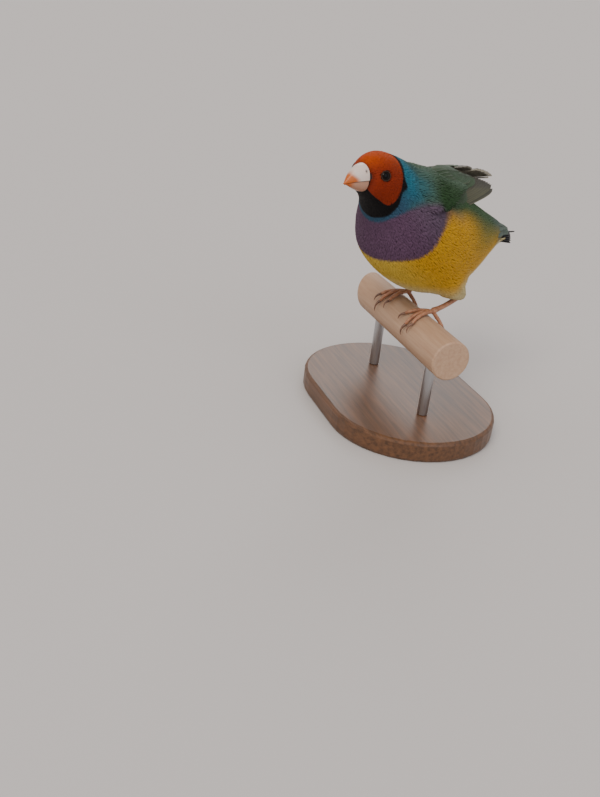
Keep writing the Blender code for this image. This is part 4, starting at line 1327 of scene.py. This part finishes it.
def over_wing(place, angle, height=0.0):
    """The body's surface, lifted where a folded wing lies on it: by 2.7 mm in front and 3.8 mm further back.
    The lift starts at the wing's front edge and ends at its leading edge."""
    inside = np.interp(place, LEAD_PLACES, LEAD_ANGLES) - np.abs(angle)
    lift = 2.7 + 1.1 * smooth_step(place, 5.0, 6.6)
    lift = lift * smooth_step(behind_front(place, angle), -0.65, 0.10) * smooth_step(inside, -0.14, 0.10)
    return body(place, angle, height + lift)


def shoulder_colour(place, angle):
    """The body's own markings at the front, giving way to the wing's green."""
    off = np.abs(angle)
    green = blend(MANTLE, COVERT_GREEN, smooth_step(off, 0.28, 0.75))
    share = smooth_step(behind_front(place, angle), -0.1, 0.7) * smooth_step(1.4 - off, 0.0, 0.2)
    return blend(plumage(place, angle), green, share)


place, angle = roots(over_wing, *MANTLE_ENDS, lambda p: MANTLE_ROWS, lambda p: MANTLE_ROOTS)
inside = np.abs(angle) < np.interp(place, MANTLE_PLACES, MANTLE_REACH)
place, angle = place[inside], angle[inside]
sizes = (np.interp(place, MANTLE_ENDS, MANTLE_LENGTHS), np.interp(place, MANTLE_ENDS, MANTLE_WIDTHS),
         coat_depth(place))
coat("coat_mantle", over_wing, (place, angle), sizes, shoulder_colour, LAST_PLACE, LAST_PLACE)


# %% [markdown]
# ## Tail
# The tail is a folded fan of six pairs of black feathers, and the middle pair ends in long thin points.
# Copies of one feather would all end alike, so each pair gets its own place in the fan, with f going from
# 0 for the middle pair to 1 for the outer one. The middle pair lies on top, and each further pair lies
# lower.

# %% Tail
TAIL_PAIRS = 6
TAIL_START = -47.0              # s of the tail's root, where the body has bent right
TAIL_ROOT = np.array([-REAR_BEND * (TAIL_START - REAR_FROM) ** 2, TAIL_START, 29.4])
TAIL_TIP = np.array([-8.0, -66.6, 26.0])
TAIL_PIN = 7.0                  # the middle pair reaches this far past the rest
TAIL_BLACK = linear("#15161a")
PIN_SHAPE, FAN_SHAPE = (2.4, 1.8), (4.2, 6.0)   # width and tip power of the middle pair and of the others
TAIL_TILT = 9.0                 # degrees by which a vane's outer side hangs
tail_along = unit(TAIL_TIP - TAIL_ROOT)
tail_up = unit(UP - tail_along * tail_along[2])
tail_left = np.cross(tail_up, tail_along)
tail_left = tail_left * np.sign(tail_left[0])


def tail_vane(f, hand):
    """One vane of the fan. It starts 0.4 + 2 f mm to its side and ends 0.7 + 2.4 f mm, at a level of
    1.3 - 2.6 f^1.3 and, on the right, 0.35 mm lower so that the two of a pair don't meet."""
    level = 1.3 - 2.6 * f ** 1.3 - (0.35 if hand < 0 else 0.0)
    start = TAIL_ROOT + tail_left * hand * (0.4 + 2.0 * f) + tail_up * level
    end = TAIL_TIP + tail_left * hand * (0.7 + 2.4 * f) + tail_up * (level - 1.2 * f)
    end = end + tail_along * (TAIL_PIN if f == 0 else -2.6 * f ** 2)
    half = vane_outline(*(PIN_SHAPE if f == 0 else FAN_SHAPE))
    corners = vane_sheet(straight(start, end), tail_up, half, 0.2, 0.25, math.radians(-TAIL_TILT * hand))
    return corners, plain(TAIL_BLACK) * rng.uniform(0.8, 1.3)


vanes = [tail_vane(f, hand) for f in np.linspace(0, 1, TAIL_PAIRS) for hand in (1, -1)]
vane_piece("tail_feathers", vanes, ("tail",))


# %% [markdown]
# ## Tail coverts
# Long soft coverts lead from the rump onto the tail, above and below, and hide its root. The small
# feathers could be drawn longer there, but five stations are too few for so long a feather. So rows of
# vanes grow from the body's own surface, each row starting further forward and ending sooner than the one
# under it.

# %% Tail coverts
COVERT_SPREAD = 2.6             # radians from the first covert of a row to the last, and one step
TAIL_COVERT_ROWS = [
    # place of the roots, place that the tips stand over, millimetres past it, count, width
    (12.35, 13.0, 6.0, 5, 3.0),
    (11.9, 12.9, 3.0, 6, 2.9),
    (11.4, 12.7, 0.5, 7, 2.8),
    (10.9, 12.3, 0.0, 8, 2.8),
]


def tail_covert(near, far, past, width, angle, tone):
    """A vane from 0.5 mm under the body at one place to 0.15 mm over it at another, bowed out by 0.35 mm."""
    start = body(near, angle, -0.5)
    end = body(far, angle, 0.15) + tail_along * past
    outward = unit(body(far, angle, 2.0) - body(far, angle))
    path = straight(start, end) + outward * (0.35 * np.sin(math.pi * ALONG))[:, None]
    corners = vane_sheet(path, outward, vane_outline(width, 4.0), 0.18, 0.12, 0.0)
    return corners, plain(tone) * rng.uniform(0.85, 1.1)


vanes = []
for near, far, past, count, width in TAIL_COVERT_ROWS:
    for k in range(count):
        for middle, tone in ((0.0, RUMP), (math.pi, VENT)):
            angle = middle + (k - (count - 1) / 2) * COVERT_SPREAD / count
            vanes.append(tail_covert(near, far, past, width, angle, tone))
vane_piece("tail_coverts", vanes)


# %% [markdown]
# ## Eyes and lids
# The eye is a dark brown ball under a wet cornea, with a wide black pupil, and a narrow bare ring of lid
# goes round it, slightly beaded. A second shell of glass could make the cornea, but at this size one
# smooth glossy ball gives the same highlight. The pupil is painted by each point's angle off the line of
# sight. The lid is a ring whose tube swells and thins 34 times on its way round.

# %% Eyes and lids
PUPIL, IRIS = linear("#010101"), linear("#160a05")
PUPIL_EDGE = (0.50, 0.56)       # angle off the line of sight where the pupil gives way to the iris
LID_RADIUS, LID_THICKNESS, LID_OUT = 1.60, 0.21, 1.62   # ring, tube, and how far in front of the eye's middle
LID_BEADS = 34


def ring_round(axis, turn):
    """Directions square to an axis, at each turn round it."""
    one = unit(np.cross(axis, UP))
    return np.cos(turn)[..., None] * one + np.sin(turn)[..., None] * np.cross(axis, one)


def eyeball(centre, axis, radius):
    """A ball as a function of tilt off the line of sight and turn round it, bulging by 2% in front."""
    tilt, turn = np.meshgrid(np.linspace(0.02, math.pi - 0.02, 40), full_turn(48), indexing="ij")
    bulge = radius * (1 + 0.02 * bell(tilt, 0.0, 0.9))
    ahead, wide = bulge * np.cos(tilt), bulge * np.sin(tilt)
    rings = centre + ahead[..., None] * axis + wide[..., None] * ring_round(axis, turn)
    return closed_tube(rings), np.append(tilt.ravel(), [0.0, math.pi])


def eyelid(centre, axis):
    """A slightly oval ring: a tube of the lid's thickness round a circle that stands in front of the eye."""
    turn, tube = np.meshgrid(full_turn(96), full_turn(12), indexing="ij")
    thick = LID_THICKNESS * (1 + 0.05 * np.cos(LID_BEADS * turn))
    wide = LID_RADIUS * (1 + 0.03 * np.cos(2 * turn)) + thick * np.cos(tube)
    ahead = LID_OUT + thick * np.sin(tube) * 0.8
    rings = centre + ahead[..., None] * axis + wide[..., None] * ring_round(axis, turn)
    points = rings.reshape(-1, 3)
    return points, facing_out(points[None], grid_faces(96, 12, ring=True))


# A wet cornea gives the eye one small bright highlight on near black.
eye_glass, tree, shader = finish("wet_eye_cornea", Roughness=0.05, Specular_IOR_Level=0.15)
tint = node(tree, "ShaderNodeAttribute", {"attribute_name": "plumage"})
tree.links.new(tint.outputs["Color"], shader.inputs["Base Color"])
# Bare skin gives a dull dark ring with fine creases, 0.3 mm apart.
lid_skin, tree, shader = finish("bare_eyelid_skin", Base_Color=rgba("#33251e"), Roughness=0.7,
                                Specular_IOR_Level=0.2)
relief(tree, shader, 0.5, 0.1 * MM, Scale=3.5 / MM)

lids = []
for side, hand in ((1, "left"), (-1, "right")):
    centre, axis, radius = EYES[side]
    (points, faces), off = eyeball(centre, axis, radius)
    colours = blend(np.tile(PUPIL, (len(off), 1)), IRIS, smooth_step(off, *PUPIL_EDGE))
    piece("eyeball_" + hand, points, faces, eye_glass, colours, replaces=("eye_" + hand,))
    lids.append(eyelid(centre, axis))
piece("eyelids", *joined(lids), lid_skin)


# %% [markdown]
# ## Bill
# A seed-eater's bill is a short heavy cone in two halves. It could be carved from a cone with a boolean
# for the mouth line. Here each half is lofted from sections that shrink along a bowed outline, because a
# loft keeps its rings, and a soft change of colour can follow them.

# %% Bill
BILL_LENGTH, BILL_WIDTH, CULMEN, GONYS = 8.6, 7.6, 5.0, 4.2     # culmen and gonys: heights of the two halves
BILL_DROP = math.radians(3.0)
MOUTH_DOWN = 0.6                # the mouth line lies this much under the middle of the head's first section
JAW_SHARE = 0.93                # the lower half against the upper one, in length and width
GAP = 0.3                       # millimetres between neighbouring solids
NOSTRIL = (0.9, 3.0, 0.4)       # forward, up and size
PEARL, TIP_RED, JAW_PINK = linear("#d6c8c0"), linear("#b75a03"), linear("#b2876f")

# Living horn gives the eye a smooth, slightly waxy surface that light enters a little, with growth marks
# 1.4 mm apart.
horn, tree, shader = finish("polished_bill_horn", Roughness=0.38, Coat_Weight=0.10, Subsurface_Weight=0.05,
                            Subsurface_Scale=1.0 * MM)
tint = node(tree, "ShaderNodeAttribute", {"attribute_name": "plumage"})
tree.links.new(tint.outputs["Color"], shader.inputs["Base Color"])
relief(tree, shader, 0.12, 0.2 * MM, Scale=0.7 / MM, Detail=4.0)


def bill_place(forward, left, up):
    """A point of the bill from the middle of its base, dropped by 3 degrees and turned as the head is."""
    f = forward * math.cos(BILL_DROP) + up * math.sin(BILL_DROP)
    u = up * math.cos(BILL_DROP) - forward * math.sin(BILL_DROP)
    front = (BODY[0][0] + BODY[0][2]) / 2 + GAP
    mouth = (BODY[0][1] + BODY[0][3]) / 2 - MOUTH_DOWN
    return turned_head(np.stack([left, front + f, mouth + u], -1), np.zeros(np.shape(f)))


def bill_half(upper):
    """Forward, left and up over a grid: t along the bill and an arc over it, closed by a flat mouth side.
    Half the width shrinks as (1 - t^1.45)^0.9 and the height as 1 - t^1.9 above and 1 - t^1.5 below."""
    t = np.linspace(0, 1, 60)[:, None]
    arc = np.linspace(0, math.pi, 41)[None, :]
    half = np.maximum(BILL_WIDTH / 2 * (1 - t ** 1.45) ** 0.9, 0.22) * (1.0 if upper else JAW_SHARE)
    if upper:
        tall = np.maximum(CULMEN * (1 - t ** 1.9), 0.35)
        flat = GAP / 2 - 0.9 * t ** 3
    else:
        tall = -np.maximum(GONYS * (1 - t ** 1.5), 0.3)
        flat = -GAP / 2 - 0.72 * t ** 3
    left = np.concatenate([half * np.cos(arc), half * np.linspace(-0.9, 0.9, 11)[None]], 1)
    up = np.concatenate([flat + tall * np.sin(arc) ** 0.85, np.repeat(flat, 11, 1)], 1)
    return BILL_LENGTH * t * (1.0 if upper else JAW_SHARE) + 0 * left, left, up


print("bill in millimetres, long, wide and high:", BILL_LENGTH, BILL_WIDTH, CULMEN + GONYS)


# %% [markdown]
# ## Nostrils and colours of the bill
# The upper half is pearly white and the lower one pinkish. Both turn orange at the tip, and on the upper
# half the orange reaches further back along the cutting edge. A mask could be painted on an unwrapped
# map, but the loft already knows how far along the bill each point lies, and that number gives the
# colour. The nostril is a dent near the base of the upper half, with painted shade inside it.

# %% Nostrils and colours of the bill
for upper, name in ((True, "bill_upper"), (False, "bill_lower")):
    forward, left, up = bill_half(upper)
    dent = np.exp(-((forward - NOSTRIL[0]) ** 2 + (up - NOSTRIL[1]) ** 2) / NOSTRIL[2] ** 2)
    points, faces = closed_tube(bill_place(forward, left * (1 - 0.22 * dent), up))
    reach = np.append(forward.ravel() / BILL_LENGTH, [0.0, 1.0])
    low = np.append((1 - smooth_step(np.abs(up), 0.3, 2.6)).ravel(), [0.0, 0.0])
    red = smooth_step(reach + (0.20 * low if upper else 0.0), 0.52, 0.80)
    colours = blend(np.tile(PEARL if upper else JAW_PINK, (len(reach), 1)), TIP_RED, red)
    # Painted shade: the inside of the nostril's dent goes nearly black.
    colours = blend(colours, np.zeros(3), np.append(dent.ravel(), [0.0, 0.0]) * 0.9)
    piece(name + "_horn", points, faces, horn, colours, replaces=(name,))


# %% [markdown]
# ## Limbs of the feet
# A perching bird's shank and toes are covered by overlapping scutes, with a pad under each joint, and end
# in curved claws. A tube with a bump map would look smooth against the light. Each limb is instead a
# circle carried along a path, with the scutes as a saw-tooth in its radius on the upper side and the pads
# as swellings below. The paths are given round the dowel, so the toes can't miss it.

# %% Dowel and limb functions
DOWEL_RADIUS = 7.5
HEADING = math.radians(22.0)    # how far the dowel is turned about the upright axis
DOWEL_ALONG = np.array([math.cos(HEADING), math.sin(HEADING), 0.0])
DOWEL_FRONT = np.array([-math.sin(HEADING), math.cos(HEADING), 0.0])
SCUTE = 0.85                    # length of one scute


def on_dowel(along, degrees, radius):
    """A point round the dowel: along it, at an angle up from its front side, at a radius from its axis."""
    a = np.radians(degrees)
    return (np.multiply.outer(along, DOWEL_ALONG) + np.multiply.outer(radius * np.cos(a), DOWEL_FRONT)
            + np.multiply.outer(radius * np.sin(a), UP))


def off_dowel(path):
    """Directions straight away from the dowel's axis at each point of a path."""
    return path - np.outer(path @ DOWEL_ALONG, DOWEL_ALONG)


def limb(path, radius, outward, scutes, pads, columns=20):
    """A closed tube along a path. Its radius grows by a saw-tooth of scutes above and by pads below."""
    d = unit(np.gradient(path, axis=0))
    up = unit(outward - d * (outward * d).sum(-1, keepdims=True))
    side = np.cross(up, d)
    run = np.append(0.0, np.cumsum(np.linalg.norm(np.diff(path, axis=0), axis=-1)))
    turn = full_turn(columns)[None, :]
    above = smooth_step(np.cos(turn), -0.1, 0.5)
    tooth = 1 - (run[:, None] / SCUTE) % 1.0
    bulk = 1 + scutes * tooth * above + pads[:, None] * smooth_step(-np.cos(turn), 0.0, 0.8)
    ring = np.cos(turn)[..., None] * up[:, None, :] + np.sin(turn)[..., None] * side[:, None, :]
    return closed_tube(path[:, None, :] + (radius[:, None] * bulk)[..., None] * ring)


print("dowel in millimetres across:", 2 * DOWEL_RADIUS)


# %% [markdown]
# ## Feet and claws
# Each foot has a shank, two rounded joints, three toes over the front of the dowel and one behind it. A
# rig could bend a straight foot round the dowel, but a still model needs no bones, so each toe is a path
# that goes from the ankle to its own end. A claw goes on from there, arches and thins to a point.

# %% Measures and finishes of the feet
TARSUS_RADIUS, TOE_RADIUS, CLAW_RADIUS = 0.95, 0.72, 0.42
FOOT_AT = {1: 10.35, -1: -11.25}                # each foot's place along the dowel
ANKLE_ANGLE, ANKLE_HEIGHT = 116.0, 2.7          # degrees up from the dowel's front, and millimetres off it
JOINT_RADIUS = 1.25
TOE_CENTRE = DOWEL_RADIUS + GAP + TOE_RADIUS + 0.05     # from the dowel's axis to a toe's middle
CLAW_RUN, CLAW_ARCH = 0.16, 0.55                # its run against its toe's, and its rise in the middle
TOES = {
    # along the dowel and angle of each toe's end, and the turn of its claw; the last toe points behind
    1: [(6.2, 52.0, -22.0), (11.6, 31.0, -28.0), (14.6, 44.0, -26.0), (13.0, 158.0, 30.0)],
    -1: [(-7.6, 50.0, -24.0), (-12.2, 33.0, -30.0), (-15.2, 50.0, -26.0), (-9.4, 160.0, 30.0)],
}

# Scaled skin gives the eye a mottled brownish pink, a lump to each 1.7 mm, and lets a little light in.
leg, tree, shader = finish("scaled_leg_skin", Roughness=0.5, Subsurface_Weight=0.1, Subsurface_Scale=1.0 * MM)
mottle(tree, shader, ("#8f5f45", "#b08063"), 0.15, 0.3, 0.1 * MM, Scale=0.6 / MM, Detail=4.0)
# Claw horn is darker and shinier, with layers that show as cloudy marks 0.7 mm apart.
claw_horn, tree, shader = finish("claw_horn", Roughness=0.35)
mottle(tree, shader, ("#583d31", "#805f4d"), 0.15, 0.2, 0.1 * MM, Scale=1.5 / MM, Detail=3.0)


print("toes, each with its claw, on a foot:", len(TOES[1]))


# %% [markdown]
# ## Shanks, toes and claws
# A gripping toe lies close on the wood, and its claw arches over it. A curve modifier could bend a
# straight toe round the dowel, but its formula can be given straight in the dowel's own measures: along
# it, round it and away from it. All limbs of a foot then become one piece, and its four claws another.

# %% Feet and claws
def shank(ankle, heel):
    """A limb from ankle to heel that bows down by 0.6 mm, thicker at its ends."""
    t = np.linspace(0, 1, 130)
    path = ankle + (heel - ankle) * t[:, None] - 0.6 * UP * np.sin(math.pi * t)[:, None]
    radius = TARSUS_RADIUS * np.interp(t, np.linspace(0, 1, 6), (1.2, 1.0, 0.95, 0.98, 1.05, 1.25))
    return limb(path, radius, DOWEL_FRONT + 0.3 * UP, 0.16, 0 * t)


def joint(centre):
    """A ball: circles of radius sin(turn) at heights -cos(turn)."""
    turn = np.linspace(0.05, math.pi - 0.05, 14)
    path = centre + np.multiply.outer(-JOINT_RADIUS * np.cos(turn), UP)
    return limb(path, JOINT_RADIUS * np.sin(turn), DOWEL_ALONG, 0.0, 0 * turn)


def toe(foot, along, angle):
    """A limb round the dowel that comes down from the ankle as (1 - t)^3 and closes in a round tip."""
    t = np.linspace(0, 1, 130)
    path = on_dowel(foot + (along - foot) * t, ANKLE_ANGLE + (angle - ANKLE_ANGLE) * t,
                    TOE_CENTRE + 1.1 * (1 - t) ** 3)
    pads = 0.10 * np.cos(3 * math.pi * t) ** 2 * smooth_step(t, 0.1, 0.3)
    closing = np.sqrt(np.clip(1 - ((t - 0.93) / 0.07).clip(0, 1) ** 2, 0.02, 1))
    return limb(path, TOE_RADIUS * (1.06 - 0.22 * t) * closing, off_dowel(path), 0.15, pads)


def claw(foot, along, angle, claw_turn):
    """A cone from inside the toe's tip, t = -0.25, to its point, t = 1, arched as sin(pi t)."""
    t = np.linspace(-0.25, 1, 30)
    path = on_dowel(along + (along - foot) * CLAW_RUN * t, angle + claw_turn * t,
                    TOE_CENTRE + CLAW_ARCH * np.sin(math.pi * t) + 0.10 * t)
    taper = (1 - t.clip(0, 1)) ** 0.8 * (1 + 1.6 * t.clip(-1, 0))
    return limb(path, (CLAW_RADIUS + 0.12) * taper + 0.05, off_dowel(path), 0.0, 0 * t, 12)


for side, hand in ((1, "left"), (-1, "right")):
    foot = FOOT_AT[side]
    ankle, heel = on_dowel(foot, ANKLE_ANGLE, DOWEL_RADIUS + ANKLE_HEIGHT), on_side(HEEL, side)
    shapes = [shank(ankle, heel), joint(ankle), joint(heel)]
    shapes += [toe(foot, along, angle) for along, angle, claw_turn in TOES[side]]
    piece("scaled_foot_" + hand, *joined(shapes), leg, replaces=("foot_" + hand,))
    piece("claws_" + hand, *joined([claw(foot, *end) for end in TOES[side]]), claw_horn)


# %% [markdown]
# ## Perch and stand
# The perch is a cut length of turned beech dowel, worn smooth where birds stand. The stand is a stained
# board with a softened edge and two brushed steel rods. Their solids already have the right shape, so
# they stay and only get new materials. Wood shows long fibres along the grain, and a photograph of wood
# would repeat, so the fibres are noise that is drawn out along the grain. The brushing of the steel is
# the same trick, drawn out along the rod.

# %% Wood and steel
GRAIN_DRAW, BRUSH_DRAW = 0.06, 0.02             # scales along grain and brushing, against those across


def wood(name, light, dark, grain_mm, roughness):
    """Fibres as noise, one to each grain_mm across the grain, which runs along the dowel's heading."""
    material, tree, shader = finish(name, Roughness=roughness)
    where = node(tree, "ShaderNodeTexCoord")
    turned = node(tree, "ShaderNodeMapping", {"Rotation": (0.0, 0.0, HEADING)},
                  {"Vector": where.outputs["Object"]})
    drawn = node(tree, "ShaderNodeMapping", {"Scale": (GRAIN_DRAW, 1.0, 1.0)},
                 {"Vector": turned.outputs["Vector"]})
    mottle(tree, shader, (dark, light), 0.18, 0.25, 0.2 * MM, drawn.outputs["Vector"],
           Scale=1.0 / (grain_mm * MM), Detail=6.0, Roughness=0.6)
    return material


# Turned beech gives the eye a pale, dry surface with fine fibres, and stained walnut a darker one that has a
# little wax on it.
beech = wood("turned_beech_dowel", "#b89a80", "#a8866c", 1.2, 0.6)
walnut = wood("stained_walnut_board", "#6d4a30", "#46301f", 1.4, 0.4)
# Brushed steel gives long soft highlights. Its scratches run along the rod. Real ones are 0.05 mm apart, and
# they are drawn 0.25 mm apart so that they show.
steel, tree, shader = finish("brushed_steel_rod", Base_Color=rgba("#b4b4b6"), Metallic=1.0)
where = node(tree, "ShaderNodeTexCoord")
drawn = node(tree, "ShaderNodeMapping", {"Scale": (1.0, 1.0, BRUSH_DRAW)},
             {"Vector": where.outputs["Object"]})
scratches = relief(tree, shader, 0.15, 0.1 * MM, drawn.outputs["Vector"], Scale=4.0 / MM, Detail=3.0)
worn = node(tree, "ShaderNodeMapRange", {"From Min": 0.3, "From Max": 0.7, "To Min": 0.24, "To Max": 0.42},
            {"Value": scratches})
tree.links.new(worn.outputs["Result"], shader.inputs["Roughness"])
for name, material in (("perch", beech), ("stand_base", walnut), ("stand_rod_near", steel),
                       ("stand_rod_far", steel)):
    for slot in frame["nodes"][name].material_slots:
        slot.material = material
print("the perch, the base and both rods have their materials")
